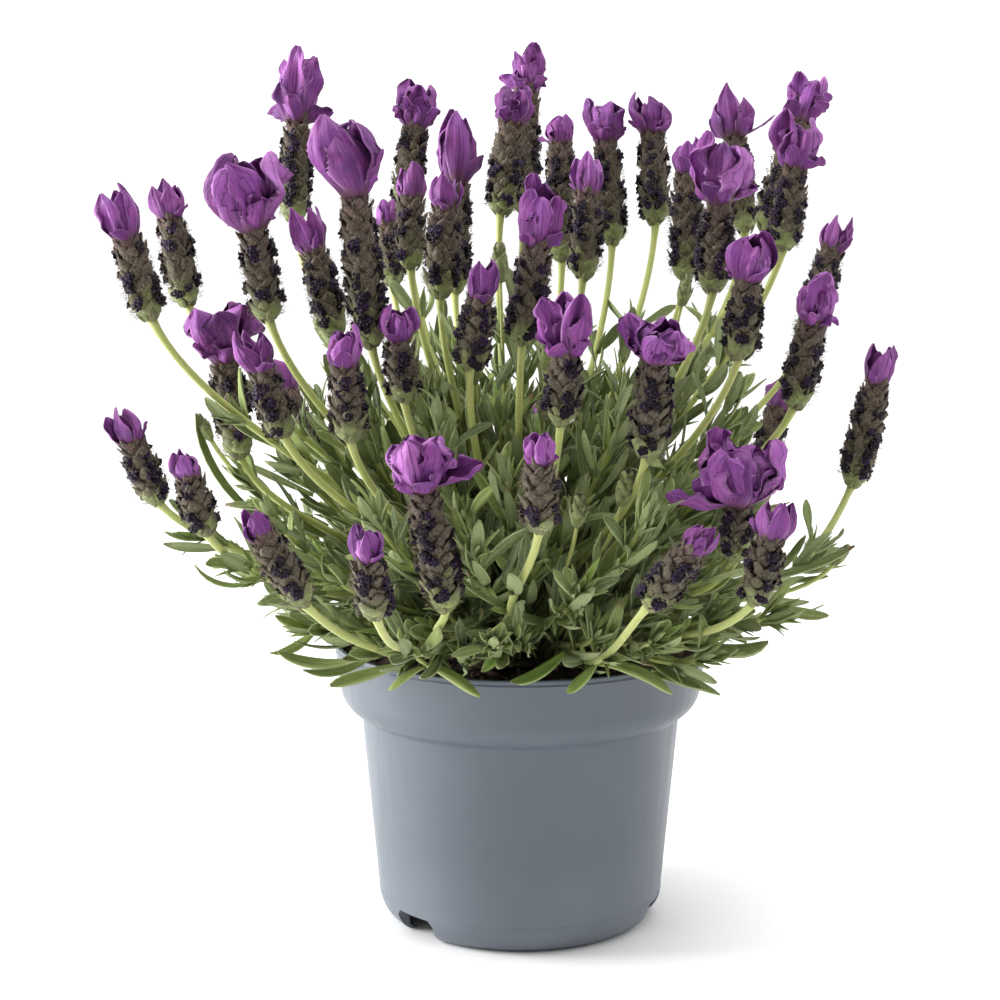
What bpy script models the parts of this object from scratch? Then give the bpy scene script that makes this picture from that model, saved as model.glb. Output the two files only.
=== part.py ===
"""Butterfly lavender (Lavandula stoechas) in a plastic grower's pot.

Metres, +Z up. The origin is on the pot's axis, on the surface that the pot stands on, and
the side that faces the viewer looks along -Y. The plant is one crown of flowering stems and
leafy shoots that rise from the potting soil.
"""
import math

import bmesh
import bpy
from mathutils import Vector

MM = 0.001

# Pot: a thin injection-moulded shell with a collar, a raised floor and a foot ring.
RIM_RADIUS = 75.0 * MM
POT_HEIGHT = 113.0 * MM
COLLAR_HEIGHT = 28.5 * MM
COLLAR_TAPER = 2.6 * MM
SHOULDER_RADIUS = 12.0 * MM
COLLAR_STEP = 1.2 * MM
WALL = 1.3 * MM
LIP_HEIGHT = 1.6 * MM
LIP_OUTSET = 0.5 * MM
COLLAR_OVERHANG = 11.0 * MM
BODY_TAPER = 6.7 * MM
CORNER_INSET = 7.3 * MM
CORNER_HEIGHT = 10.0 * MM
CORNER_POWER = 1.15
FOOT_WIDTH = 2.6 * MM
FLOOR_HEIGHT = 7.4 * MM
DRAIN_HEIGHT = 6.8 * MM
DRAIN_ANGLE = math.radians(21.0)
DRAIN_COUNT = 3
FIRST_DRAIN = math.radians(-48.0)
POT_SEGMENTS = 48
BODY_TOP_RADIUS = RIM_RADIUS - COLLAR_OVERHANG
BODY_BOTTOM_RADIUS = BODY_TOP_RADIUS - BODY_TAPER
FOOT_RADIUS = BODY_BOTTOM_RADIUS - CORNER_INSET

# Soil and the woody crown that the stems grow from.
CLEARANCE = 0.3 * MM
SOIL_BELOW_RIM = 5.0 * MM
SOIL_CROWN = 1.2 * MM
CROWN_RADIUS = 36.0 * MM
CROWN_HEIGHT = 9.0 * MM
CROWN_EDGE = 1.0 * MM

# Flowering stems.
STALK_RADIUS = 1.5 * MM
STEM_SIDES = 6
STALK_RINGS = 7
STALK_EASE = 0.3
SPIKE_RADIUS = 7.0 * MM
FULL_SPIKE = 38.0 * MM
SLIM_SPIKE = 0.72

# A spike's and a tuft's rings: share of the length, and share of the radius.
SPIKE_RINGS = ((0.0, 0.5), (0.14, 0.95), (0.5, 1.0), (0.86, 0.8))
TUFT_RINGS = ((0.4, 1.0), (0.8, 0.85), (1.0, 0.3))

# Where the stems leave the crown.
ROOT_SPACING = 5.2 * MM
ROOT_REACH = 0.9
ROOT_TILT = math.radians(78.0)
SHOOT_ROOT_REACH = 0.985

# Leafy shoots.
SHOOT_RADIUS = 1.3 * MM
SHOOT_SIDES = 4
SHOOT_EASE = 0.25
TIP_EASE = 0.3
NODE_HEIGHT = 2.4 * MM
FIRST_PAIR = 0.6
LAST_PAIR = 0.94
LEAF_WIDTH = 5.0 * MM
LEAF_THICKNESS = 1.0 * MM
LEAF_PAIRS = 4
LEAF_SHORTENING = 0.12

# A leaf leaves its stem outwards and upwards by these shares of its length, and droops. Its
# sections: share of the length, share of the width, share of the thickness.
LEAF_OUT = 0.62
LEAF_UP = 0.7
LEAF_DROOP = 0.16
LEAF_SECTIONS = ((0.25, 0.7, 1.0), (0.65, 1.0, 0.8), (1.0, 0.35, 0.5))

# Every flower head: where the foot of its spike stands (x and y from the pot's axis, z above
# the rim, in mm), how far the spike leans towards +X and towards the viewer (degrees), and
# its spike length, tuft length and tuft width (mm). The heads form a dome.
FLOWERS = [
    # Top of the dome.
    (-96, 75, 164, 2, -9, 43, 28, 16),
    (-49, 80, 172, 8, -10, 33, 19, 16),
    (-28, 95, 133, 1, -12, 48, 32, 18),
    (2, 115, 168, 2, -14, 55, 18, 14),
    (-8, 40, 168, 7, -5, 38, 14, 14),
    (18, 65, 148, -1, -8, 50, 11, 12),
    (41, 100, 154, -3, -13, 46, 18, 17),
    (60, 100, 163, -2, -13, 40, 18, 21),
    (101, 115, 159, -6, -14, 43, 21, 21),
    (106, 80, 160, 17, -10, 50, 20, 16),
    # Upper tier.
    (-56, 110, 135, -4, -14, 27, 13, 12),
    (-44, 20, 147, 1, -2, 28, 13, 12),
    (-31, -25, 138, 4, 3, 34, 12, 13),
    (-74, 12, 120, -13, -1, 35, 17, 15),
    (25, 18, 143, 3, -2, 34, 15, 12),
    (68, 42, 141, 1, -5, 44, 13, 13),
    (72, -30, 140, 3, 4, 34, 24, 20),
    (105, 20, 154, 7, -2, 33, 20, 17),
    (-55, -60, 122, -5, 8, 56, 28, 24),
    (0, -60, 123, 8, 8, 37, 22, 16),
    # Shoulders of the dome.
    (-135, -60, 132, -14, 8, 31, 18, 15),
    (-132, 8, 133, -10, -1, 35, 14, 15),
    (-93, -52, 131, -8, 7, 34, 27, 24),
    (-109, -20, 76, -7, 3, 38, 22, 22),
    (-86, -75, 91, -16, 10, 26, 15, 14),
    (-61, -88, 91, -3, 10, 28, 13, 13),
    (-43, -66, 103, -3, 9, 23, 12, 12),
    (-19, -70, 115, 9, 8, 26, 13, 11),
    (13, -95, 98, 3, 12, 26, 21, 17),
    (43, -95, 86, 4, 12, 36, 14, 22),
    (80, -50, 117, 5, 6, 29, 18, 17),
    (103, -35, 97, 10, 5, 33, 17, 14),
    (121, 60, 114, 16, -8, 40, 15, 13),
    (135, 18, 59, 12, -2, 43, 15, 12),
    # Low flowers that lean out over the rim.
    (-133, -66, 65, -21, 6, 25, 13, 11),
    (-113, -85, 57, -14, 11, 23, 9, 10),
    (-76, -112, 37, -28, 15, 30, 9, 10),
    (-27, -104, 34, -10, 13, 46, 19, 20),
    (-49, -149, 41, -5, 17, 22, 11, 11),
    (5, -130, 66, 0, 15, 25, 10, 10),
    (76, -82, 47, 2, 10, 22, 24, 30),
    (80, -108, 37, 11, 13, 25, 14, 14),
    (42, -132, 41, 34, 19, 26, 9, 11),
    # Far side.
    (-92, 92, 57, -18, -16, 34, 15, 15),
    (-48, 128, 45, -8, -20, 30, 13, 13),
    (8, 141, 39, 2, -22, 32, 14, 15),
    (60, 126, 45, 8, -20, 30, 15, 14),
    (104, 80, 52, 18, -14, 33, 14, 14),
]

# Every leafy shoot: the direction it grows in (degrees from the viewer's side towards +X),
# how far its tip is past the rim and above it (mm), and its leaf length (mm).
SHOOTS = [
    (-95, 33, 27, 26),
    (-45, 21, 18, 24),
    (-6, 23, 19, 24),
    (28, 25, 18, 26),
    (60, 31, 19, 26),
    (100, 43, 24, 28),
    (141, 35, 23, 26),
    (-171, 35, 21, 26),
    (-122, 35, 25, 26),
]


def clear_scene():
    for item in list(bpy.data.objects):
        bpy.data.objects.remove(item, do_unlink=True)


def make_material(name, colour, roughness, metallic=0.0):
    material = bpy.data.materials.new(name)
    material.use_nodes = True
    shader = material.node_tree.nodes["Principled BSDF"]
    shader.inputs["Base Color"].default_value = (*colour, 1.0)
    shader.inputs["Roughness"].default_value = roughness
    shader.inputs["Metallic"].default_value = metallic
    material.diffuse_color = (*colour, 1.0)
    return material


def add_object(name, bm, materials):
    bmesh.ops.recalc_face_normals(bm, faces=bm.faces)
    mesh = bpy.data.meshes.new(name)
    bm.to_mesh(mesh)
    bm.free()
    for material in materials:
        mesh.materials.append(material)
    mesh.shade_smooth()
    mesh.set_sharp_from_angle(angle=math.radians(40.0))
    piece = bpy.data.objects.new(name, mesh)
    bpy.context.scene.collection.objects.link(piece)
    return piece


def turned(name, profile, segments, materials):
    """A solid of revolution: the profile runs from the axis, round the outside, to the axis."""
    bm = bmesh.new()
    start = bm.verts.new((0.0, 0.0, profile[0][1]))
    end = bm.verts.new((0.0, 0.0, profile[-1][1]))
    rings = []
    for radius, height in profile[1:-1]:
        ring = []
        for step in range(segments):
            angle = 2.0 * math.pi * step / segments
            ring.append(bm.verts.new((radius * math.cos(angle), radius * math.sin(angle), height)))
        rings.append(ring)
    for lower, upper in zip(rings, rings[1:]):
        for step in range(segments):
            after = (step + 1) % segments
            bm.faces.new((lower[step], lower[after], upper[after], upper[step]))
    for step in range(segments):
        after = (step + 1) % segments
        bm.faces.new((start, rings[0][after], rings[0][step]))
        bm.faces.new((end, rings[-1][step], rings[-1][after]))
    return add_object(name, bm, materials)


def arc(centre, radius, first, last, steps):
    """Points of a circular arc in the profile's plane, angles in degrees from +r."""
    points = []
    for step in range(steps + 1):
        angle = math.radians(first + (last - first) * step / steps)
        points.append((centre[0] + radius * math.cos(angle), centre[1] + radius * math.sin(angle)))
    return points


def collar_bottom():
    return POT_HEIGHT - COLLAR_HEIGHT


def body_radius(height):
    """Outer radius of the pot's tapering body."""
    share = (height - CORNER_HEIGHT) / (collar_bottom() - CORNER_HEIGHT)
    return BODY_BOTTOM_RADIUS + (BODY_TOP_RADIUS - BODY_BOTTOM_RADIUS) * share


def shoulder_arc(inset):
    """The collar's rounded shoulder, from its lower edge up to where its side starts."""
    edge_radius = BODY_TOP_RADIUS + COLLAR_STEP
    side_radius = RIM_RADIUS - COLLAR_TAPER
    run = side_radius - edge_radius
    first = -math.degrees(math.acos(1.0 - min(1.0, run / SHOULDER_RADIUS)))
    centre_radius = side_radius - SHOULDER_RADIUS
    centre_height = collar_bottom() - SHOULDER_RADIUS * math.sin(math.radians(first))
    return arc((centre_radius, centre_height), SHOULDER_RADIUS - inset, first, 0.0, 5)


def foot_corner(inset):
    """The rounded lower corner, from the foot ring up to the body."""
    run = BODY_BOTTOM_RADIUS - FOOT_RADIUS
    points = []
    for step in range(5):
        angle = math.radians(90.0 * step / 4)
        radius = FOOT_RADIUS + run * math.sin(angle) ** CORNER_POWER - inset
        height = CORNER_HEIGHT * (1.0 - math.cos(angle) ** CORNER_POWER)
        points.append((radius, height))
    return points


def pot_profile():
    lip_foot = POT_HEIGHT - LIP_HEIGHT
    side_radius = RIM_RADIUS - LIP_OUTSET
    inner_corner = foot_corner(FOOT_WIDTH)
    floor_radius = inner_corner[2][0]
    floor_top = FLOOR_HEIGHT + WALL
    inner_top = side_radius - WALL

    profile = [(0.0, FLOOR_HEIGHT), (floor_radius, FLOOR_HEIGHT), inner_corner[1], inner_corner[0]]
    profile += foot_corner(0.0)
    profile.append((body_radius(collar_bottom() - COLLAR_STEP), collar_bottom() - COLLAR_STEP))
    profile += shoulder_arc(0.0)
    profile.append((side_radius, lip_foot))
    profile.append((RIM_RADIUS, lip_foot + 0.2 * LIP_HEIGHT))
    profile.append((RIM_RADIUS, POT_HEIGHT - 0.3 * LIP_HEIGHT))
    profile.append((RIM_RADIUS - 0.3 * LIP_HEIGHT, POT_HEIGHT))
    profile.append((inner_top + 0.2 * WALL, POT_HEIGHT))
    profile.append((inner_top, POT_HEIGHT - 0.3 * LIP_HEIGHT))
    profile += list(reversed(shoulder_arc(WALL)))
    profile.append((body_radius(collar_bottom() - 2.0 * WALL) - WALL, collar_bottom() - 2.0 * WALL))
    profile.append((body_radius(CORNER_HEIGHT + WALL) - WALL, CORNER_HEIGHT + WALL))
    profile.append((body_radius(floor_top) - 2.0 * WALL, floor_top))
    profile.append((0.0, floor_top))
    return profile


def drain_cutter(index):
    """A wedge that cuts one drain notch out of the foot ring, under the raised floor."""
    middle = FIRST_DRAIN + 2.0 * math.pi * index / DRAIN_COUNT
    inner = FOOT_RADIUS - 3.0 * FOOT_WIDTH
    outer = RIM_RADIUS
    low = -2.0 * WALL
    bm = bmesh.new()
    loops = []
    for height, share in ((low, 1.0), (0.75 * DRAIN_HEIGHT, 1.0), (DRAIN_HEIGHT, 0.8)):
        half = 0.5 * DRAIN_ANGLE * share
        loop = []
        for radius, angle in ((inner, -half), (outer, -half), (outer, half), (inner, half)):
            turn = middle + angle
            point = (radius * math.sin(turn), -radius * math.cos(turn), height)
            loop.append(bm.verts.new(point))
        loops.append(loop)
    for lower, upper in zip(loops, loops[1:]):
        for side in range(4):
            after = (side + 1) % 4
            bm.faces.new((lower[side], lower[after], upper[after], upper[side]))
    bm.faces.new(loops[0])
    bm.faces.new(list(reversed(loops[-1])))
    cutter = add_object(f"drain_cutter_{index + 1}", bm, [])
    cutter.hide_render = True
    cutter.display_type = "WIRE"
    return cutter


def make_pot(materials):
    pot = turned("pot", pot_profile(), POT_SEGMENTS, materials)
    for index in range(DRAIN_COUNT):
        cut = pot.modifiers.new(f"drain {index + 1}", "BOOLEAN")
        cut.operation = "DIFFERENCE"
        cut.solver = "EXACT"
        cut.object = drain_cutter(index)
    return pot


def soil_top():
    return POT_HEIGHT - SOIL_BELOW_RIM


def make_soil(materials):
    """Potting soil: fills the pot's inside, clear of its wall, and is flat under the crown."""
    gap = WALL + CLEARANCE
    floor_top = FLOOR_HEIGHT + WALL + CLEARANCE
    profile = [(0.0, floor_top), (body_radius(floor_top) - 2.0 * gap, floor_top)]
    profile.append((body_radius(CORNER_HEIGHT + gap) - gap, CORNER_HEIGHT + gap))
    step_height = collar_bottom() - 2.0 * WALL
    profile.append((body_radius(step_height) - gap, step_height))
    for radius, height in shoulder_arc(gap):
        if height < soil_top() - CLEARANCE:
            profile.append((radius, height))
    side = shoulder_arc(gap)[-1][0]
    profile.append((side, soil_top() - SOIL_CROWN))
    profile.append((0.5 * (side + CROWN_RADIUS), soil_top()))
    profile.append((0.0, soil_top()))
    return turned("potting_soil", profile, 40, materials)


def crown_centre():
    """Centre and radius of the sphere whose cap is the crown's top."""
    radius = (CROWN_RADIUS ** 2 + CROWN_HEIGHT ** 2) / (2.0 * CROWN_HEIGHT)
    base = soil_top() + CLEARANCE + CROWN_EDGE
    return Vector((0.0, 0.0, base + CROWN_HEIGHT - radius)), radius


def make_crown(materials):
    """The low woody dome that carries the stems, standing on the soil."""
    centre, radius = crown_centre()
    base = soil_top() + CLEARANCE
    profile = [(0.0, base), (CROWN_RADIUS, base)]
    steps = 5
    for step in range(steps):
        r = CROWN_RADIUS * (1.0 - step / steps)
        profile.append((r, centre.z + math.sqrt(radius ** 2 - r ** 2)))
    profile.append((0.0, centre.z + radius))
    return turned("woody_crown", profile, 32, materials)


def crown_point(x, y):
    """A point just above the crown, and the direction in which a stem leaves it."""
    centre, radius = crown_centre()
    height = math.sqrt(radius ** 2 - x * x - y * y)
    normal = Vector((x, y, height)).normalized()
    return centre + normal * (radius + CLEARANCE), normal


def push_apart(points, spacing, reach):
    """Move points in the plane until each pair keeps its spacing, inside a circle."""
    points = [Vector(point) for point in points]
    for _ in range(400):
        moved = False
        for first in range(len(points)):
            for second in range(first + 1, len(points)):
                gap = points[second] - points[first]
                short = spacing - gap.length
                if short > 1e-6:
                    shift = gap.normalized() * (0.5 * short)
                    points[first] -= shift
                    points[second] += shift
                    moved = True
        for point in points:
            if point.length > reach:
                point *= reach / point.length
        if not moved:
            break
    return points


def bezier(start, leave, arrive, end, share):
    rest = 1.0 - share
    return (rest ** 3 * start + 3.0 * rest ** 2 * share * leave
            + 3.0 * rest * share ** 2 * arrive + share ** 3 * end)


def add_tube(bm, path, radii, sides, leave, material_of_ring):
    """Loft a closed tube along a path, one ring of vertices at each of its points."""
    tangents = []
    for index in range(len(path)):
        before = path[max(index - 1, 0)]
        after = path[min(index + 1, len(path) - 1)]
        tangents.append((after - before).normalized())
    tangents[0] = leave
    side = leave.cross(Vector((0.0, 0.0, 1.0)) if leave.z < 0.99 else Vector((0.0, 1.0, 0.0)))
    rings = []
    for point, tangent, radius in zip(path, tangents, radii):
        side = (side - tangent * side.dot(tangent)).normalized()
        across = tangent.cross(side)
        ring = []
        for step in range(sides):
            angle = 2.0 * math.pi * (step + 0.5) / sides
            offset = side * math.cos(angle) + across * math.sin(angle)
            ring.append(bm.verts.new(point + offset * radius))
        rings.append(ring)
    walls = []
    for index in range(len(rings) - 1):
        wall = []
        for step in range(sides):
            after = (step + 1) % sides
            corners = (rings[index][step], rings[index][after],
                       rings[index + 1][after], rings[index + 1][step])
            face = bm.faces.new(corners)
            face.material_index = material_of_ring(index)
            wall.append(face)
        walls.append(wall)
    bm.faces.new(list(reversed(rings[0]))).material_index = material_of_ring(0)
    bm.faces.new(rings[-1]).material_index = material_of_ring(len(rings) - 1)
    return walls


def lean_vector(lean_x, lean_front):
    """Unit vector that leans by two angles, towards +X and towards the viewer."""
    to_side = math.tan(math.radians(lean_x))
    to_front = math.tan(math.radians(lean_front))
    return Vector((to_side, -to_front, 1.0)).normalized()


def root_places():
    """Where each stem leaves the crown: the more a stem leans out, the further from the axis."""
    places = []
    for x, y, z, *_ in FLOWERS:
        reach = math.hypot(x, y) * MM
        tilt = math.atan2(reach, z * MM + SOIL_BELOW_RIM)
        distance = ROOT_REACH * CROWN_RADIUS * min(1.0, tilt / ROOT_TILT)
        direction = Vector((x, y)).normalized()
        places.append(direction * distance)
    return push_apart(places, ROOT_SPACING, ROOT_REACH * CROWN_RADIUS)


def make_flower(index, flower, root, materials):
    """One flowering stem: its stalk, its spike of woolly bracts and its tuft on top."""
    x, y, z, lean_x, lean_front, spike_length, tuft_length, tuft_width = flower
    foot = Vector((x * MM, y * MM, POT_HEIGHT + z * MM))
    axis = lean_vector(lean_x, lean_front)
    start, leave = crown_point(root.x, root.y)
    ease = STALK_EASE * (foot - start).length
    path = []
    radii = []
    for step in range(STALK_RINGS):
        share = step / STALK_RINGS
        path.append(bezier(start, start + leave * ease, foot - axis * ease, foot, share))
        radii.append(STALK_RADIUS)
    spike = spike_length * MM
    tuft = tuft_length * MM
    spike_radius = SPIKE_RADIUS * (SLIM_SPIKE + (1.0 - SLIM_SPIKE) * min(1.0, spike / FULL_SPIKE))
    tuft_radius = 0.5 * tuft_width * MM
    for share, size in SPIKE_RINGS:
        path.append(foot + axis * (spike * share))
        radii.append(spike_radius * size)
    path.append(foot + axis * spike)
    radii.append(0.5 * min(spike_radius, tuft_radius))
    for share, size in TUFT_RINGS:
        path.append(foot + axis * (spike + tuft * share))
        radii.append(tuft_radius * size)

    def part_of(ring):
        if ring < STALK_RINGS:
            return 0
        return 1 if ring < STALK_RINGS + len(SPIKE_RINGS) else 2

    bm = bmesh.new()
    add_tube(bm, path, radii, STEM_SIDES, leave, part_of)
    return add_object(f"flowering_stem_{index:02d}", bm, materials)


def grow_leaf(bm, face, outward, along, length):
    """Extrude one face of a shoot into a narrow leaf that curves along the shoot."""
    foot = face.calc_center_median()
    heading = outward * LEAF_OUT + along * LEAF_UP
    across = along.cross(outward).normalized()
    normal = across.cross(heading.normalized())
    middle = foot
    for share, width, thickness in LEAF_SECTIONS:
        previous = middle
        middle = foot + heading * (length * share)
        middle.z -= LEAF_DROOP * length * share ** 2
        grown = bmesh.ops.extrude_face_region(bm, geom=[face])
        corners = [item for item in grown["geom"] if isinstance(item, bmesh.types.BMVert)]
        next_face = [item for item in grown["geom"] if isinstance(item, bmesh.types.BMFace)][0]
        bmesh.ops.delete(bm, geom=[face], context="FACES_ONLY")
        for corner in corners:
            offset = corner.co - previous
            left = math.copysign(0.5 * width * LEAF_WIDTH, offset.dot(across))
            top = math.copysign(0.5 * thickness * LEAF_THICKNESS, offset.dot(normal))
            corner.co = middle + across * left + normal * top
        face = next_face


def make_shoot(index, shoot, materials):
    """One leafy shoot: a square stem with opposite pairs of narrow leaves."""
    direction, reach, height, leaf_length = shoot
    turn = math.radians(direction)
    away = Vector((math.sin(turn), -math.cos(turn), 0.0))
    start, leave = crown_point(*(away * CROWN_RADIUS * SHOOT_ROOT_REACH).xy)
    tip = away * (RIM_RADIUS + reach * MM) + Vector((0.0, 0.0, POT_HEIGHT + height * MM))
    span = (tip - start).length
    arrive = tip - (away + Vector((0.0, 0.0, 0.5))).normalized() * (TIP_EASE * span)
    path = []
    radii = []
    half_node = 0.5 * NODE_HEIGHT / span
    shares = [0.0]
    for pair in range(LEAF_PAIRS):
        node = FIRST_PAIR + (LAST_PAIR - FIRST_PAIR) * pair / (LEAF_PAIRS - 1)
        shares += [node - half_node, node + half_node]
    shares.append(1.0)
    for share in shares:
        path.append(bezier(start, start + leave * SHOOT_EASE * span, arrive, tip, share))
        radii.append(SHOOT_RADIUS * (1.15 - 0.4 * share))
    bm = bmesh.new()
    walls = add_tube(bm, path, radii, SHOOT_SIDES, leave, lambda ring: 0)
    for pair in range(LEAF_PAIRS):
        ring = 1 + 2 * pair
        along = (path[ring + 1] - path[ring]).normalized()
        for side in (pair % 2, pair % 2 + 2):
            face = walls[ring][side]
            bm.normal_update()
            length = leaf_length * MM * (1.0 - LEAF_SHORTENING * pair)
            grow_leaf(bm, face, face.normal.copy(), along, length)
    return add_object(f"leafy_shoot_{index:02d}", bm, materials)


def main():
    clear_scene()
    plastic = make_material("grey pot plastic", (0.165, 0.185, 0.21), 0.42)
    earth = make_material("potting soil", (0.028, 0.019, 0.014), 0.95)
    bark = make_material("woody stem", (0.10, 0.075, 0.045), 0.85)
    stalk = make_material("green stalk", (0.36, 0.42, 0.16), 0.6)
    spike = make_material("woolly bracts", (0.075, 0.06, 0.045), 0.8)
    petals = make_material("purple tuft", (0.27, 0.07, 0.37), 0.55)
    leaves = make_material("grey green leaf", (0.15, 0.22, 0.085), 0.65)

    make_pot([plastic])
    make_soil([earth])
    make_crown([bark])
    for index, (flower, root) in enumerate(zip(FLOWERS, root_places()), start=1):
        make_flower(index, flower, root, [stalk, spike, petals])
    for index, shoot in enumerate(SHOOTS, start=1):
        make_shoot(index, shoot, [leaves])


main()
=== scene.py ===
"""Looks of the potted butterfly lavender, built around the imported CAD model.

Metres, in the frame's own axes: +Z up, the viewer in front at -Y. Every plant part is a
"strip": rings of points along a centre line, closed at both ends, so that leaves, petals,
bracts, stalks, hairs and soil crumbs share one mesh builder.
"""
import math

import bpy
import numpy as np
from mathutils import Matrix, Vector


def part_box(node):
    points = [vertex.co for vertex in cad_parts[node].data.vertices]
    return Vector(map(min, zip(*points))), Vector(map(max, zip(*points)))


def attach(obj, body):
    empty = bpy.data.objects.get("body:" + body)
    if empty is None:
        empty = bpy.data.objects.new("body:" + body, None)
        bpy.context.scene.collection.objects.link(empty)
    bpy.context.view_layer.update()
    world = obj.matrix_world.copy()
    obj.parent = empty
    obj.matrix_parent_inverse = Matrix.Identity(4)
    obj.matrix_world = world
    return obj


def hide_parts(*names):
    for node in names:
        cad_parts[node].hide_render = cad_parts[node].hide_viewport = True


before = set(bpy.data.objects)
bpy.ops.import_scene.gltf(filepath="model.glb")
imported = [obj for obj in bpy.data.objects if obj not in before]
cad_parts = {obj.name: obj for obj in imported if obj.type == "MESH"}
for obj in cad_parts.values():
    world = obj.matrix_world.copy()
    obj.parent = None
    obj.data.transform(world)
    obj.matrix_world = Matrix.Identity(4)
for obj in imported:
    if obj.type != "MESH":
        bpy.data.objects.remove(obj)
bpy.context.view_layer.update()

MM = 0.001

# ---------------------------------------------------------------- sizes from the frame

POT_LOW, POT_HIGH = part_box("pot")
SOIL_LOW, SOIL_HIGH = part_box("potting_soil")
CROWN_LOW, CROWN_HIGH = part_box("woody_crown")
RIM_RADIUS = POT_HIGH.x
POT_HEIGHT = POT_HIGH.z
SOIL_TOP = SOIL_HIGH.z
CROWN_RADIUS = CROWN_HIGH.x
CLEARANCE = CROWN_LOW.z - SOIL_TOP
CROWN_EDGE = 1.0 * MM
CROWN_HEIGHT = CROWN_HIGH.z - CROWN_LOW.z - CROWN_EDGE

# The pot's own sizes, as its CAD solid has them, apart from DRAIN_HEIGHT: the notches follow the
# photo and are 9.6 mm high, where the CAD's are 6.8 mm.
COLLAR_HEIGHT = 28.5 * MM
COLLAR_TAPER = 2.6 * MM
SHOULDER_RADIUS = 12.0 * MM
COLLAR_STEP = 1.2 * MM
WALL = 1.3 * MM
LIP_HEIGHT = 1.6 * MM
LIP_OUTSET = 0.5 * MM
COLLAR_OVERHANG = 11.0 * MM
BODY_TAPER = 6.7 * MM
CORNER_INSET = 7.3 * MM
CORNER_HEIGHT = 10.0 * MM
CORNER_POWER = 1.15
FOOT_WIDTH = 2.6 * MM
FLOOR_HEIGHT = 7.4 * MM
DRAIN_HEIGHT = 9.6 * MM
DRAIN_ANGLE = math.radians(21.0)
DRAIN_COUNT = 3
FIRST_DRAIN = math.radians(-48.0)
BODY_TOP_RADIUS = RIM_RADIUS - COLLAR_OVERHANG
BODY_BOTTOM_RADIUS = BODY_TOP_RADIUS - BODY_TAPER
FOOT_RADIUS = BODY_BOTTOM_RADIUS - CORNER_INSET

# Added to a point's place across its blade, to mark the underside for the materials.
UNDERSIDE = 4.0

STALK_RADIUS = 1.5 * MM
SPIKE_RADIUS = 7.0 * MM
FULL_SPIKE = 38.0
SLIM_SPIKE = 0.72
ROOT_SPACING = 5.2 * MM
ROOT_REACH = 0.9
ROOT_TILT = math.radians(78.0)
SHOOT_ROOT_REACH = 0.985
FOLIAGE_GROUPS = 12
SHOOTS_PER_GROUP = 9
OLD_STEMS = 26
CRUMBS = 1500
POT_SEGMENTS = 180
SOIL_SEGMENTS = 160
FLOOR_RADIUS = 30.0
FOLIAGE_REACH = 128.0 * MM

# The photo's view, and the light.
CAMERA_PLACE = (-0.0082, -0.800, 0.295)
CAMERA_TILT = math.radians(81.0)
CAMERA_LENS = 73.3
WORLD_STRENGTH = 1.28
LIGHT_TARGET = (0.0, 0.0, 0.17)

# Every flower head, as in the CAD model: the foot of its spike (x, y from the pot's axis, z
# above the rim, mm), its lean towards +X and towards the viewer (degrees), and its spike
# length, tuft length and tuft width (mm).
FLOWERS = [
    # Top of the dome.
    (-96, 75, 164, 2, -9, 43, 28, 16),
    (-49, 80, 172, 8, -10, 33, 19, 16),
    (-28, 95, 133, 1, -12, 48, 32, 18),
    (2, 115, 168, 2, -14, 55, 18, 14),
    (-8, 40, 168, 7, -5, 38, 14, 14),
    (18, 65, 148, -1, -8, 50, 11, 12),
    (41, 100, 154, -3, -13, 46, 18, 17),
    (60, 100, 163, -2, -13, 40, 18, 21),
    (101, 115, 159, -6, -14, 43, 21, 21),
    (106, 80, 160, 17, -10, 50, 20, 16),
    # Upper tier.
    (-56, 110, 135, -4, -14, 27, 13, 12),
    (-44, 20, 147, 1, -2, 28, 13, 12),
    (-31, -25, 138, 4, 3, 34, 12, 13),
    (-74, 12, 120, -13, -1, 35, 17, 15),
    (25, 18, 143, 3, -2, 34, 15, 12),
    (68, 42, 141, 1, -5, 44, 13, 13),
    (72, -30, 140, 3, 4, 34, 24, 20),
    (105, 20, 154, 7, -2, 33, 20, 17),
    (-55, -60, 122, -5, 8, 56, 28, 24),
    (0, -60, 123, 8, 8, 37, 22, 16),
    # Shoulders of the dome.
    (-135, -60, 132, -14, 8, 31, 18, 15),
    (-132, 8, 133, -10, -1, 35, 14, 15),
    (-93, -52, 131, -8, 7, 34, 27, 24),
    (-109, -20, 76, -7, 3, 38, 22, 22),
    (-86, -75, 91, -16, 10, 26, 15, 14),
    (-61, -88, 91, -3, 10, 28, 13, 13),
    (-43, -66, 103, -3, 9, 23, 12, 12),
    (-19, -70, 115, 9, 8, 26, 13, 11),
    (13, -95, 98, 3, 12, 26, 21, 17),
    (43, -95, 86, 4, 12, 36, 14, 22),
    (80, -50, 117, 5, 6, 29, 18, 17),
    (103, -35, 97, 10, 5, 33, 17, 14),
    (121, 60, 114, 16, -8, 40, 15, 13),
    (135, 18, 59, 12, -2, 43, 15, 12),
    # Low flowers that lean out over the rim.
    (-133, -66, 65, -21, 6, 25, 13, 11),
    (-113, -85, 57, -14, 11, 23, 9, 10),
    (-76, -112, 37, -28, 15, 30, 9, 10),
    (-27, -104, 34, -10, 13, 46, 19, 20),
    (-49, -149, 41, -5, 17, 22, 11, 11),
    (5, -130, 66, 0, 15, 25, 10, 10),
    (76, -82, 47, 2, 10, 22, 24, 30),
    (80, -108, 37, 11, 13, 25, 14, 14),
    (42, -132, 41, 34, 19, 26, 9, 11),
    # Far side.
    (-92, 92, 57, -18, -16, 34, 15, 15),
    (-48, 128, 45, -8, -20, 30, 13, 13),
    (8, 141, 39, 2, -22, 32, 14, 15),
    (60, 126, 45, 8, -20, 30, 15, 14),
    (104, 80, 52, 18, -14, 33, 14, 14),
]

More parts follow.
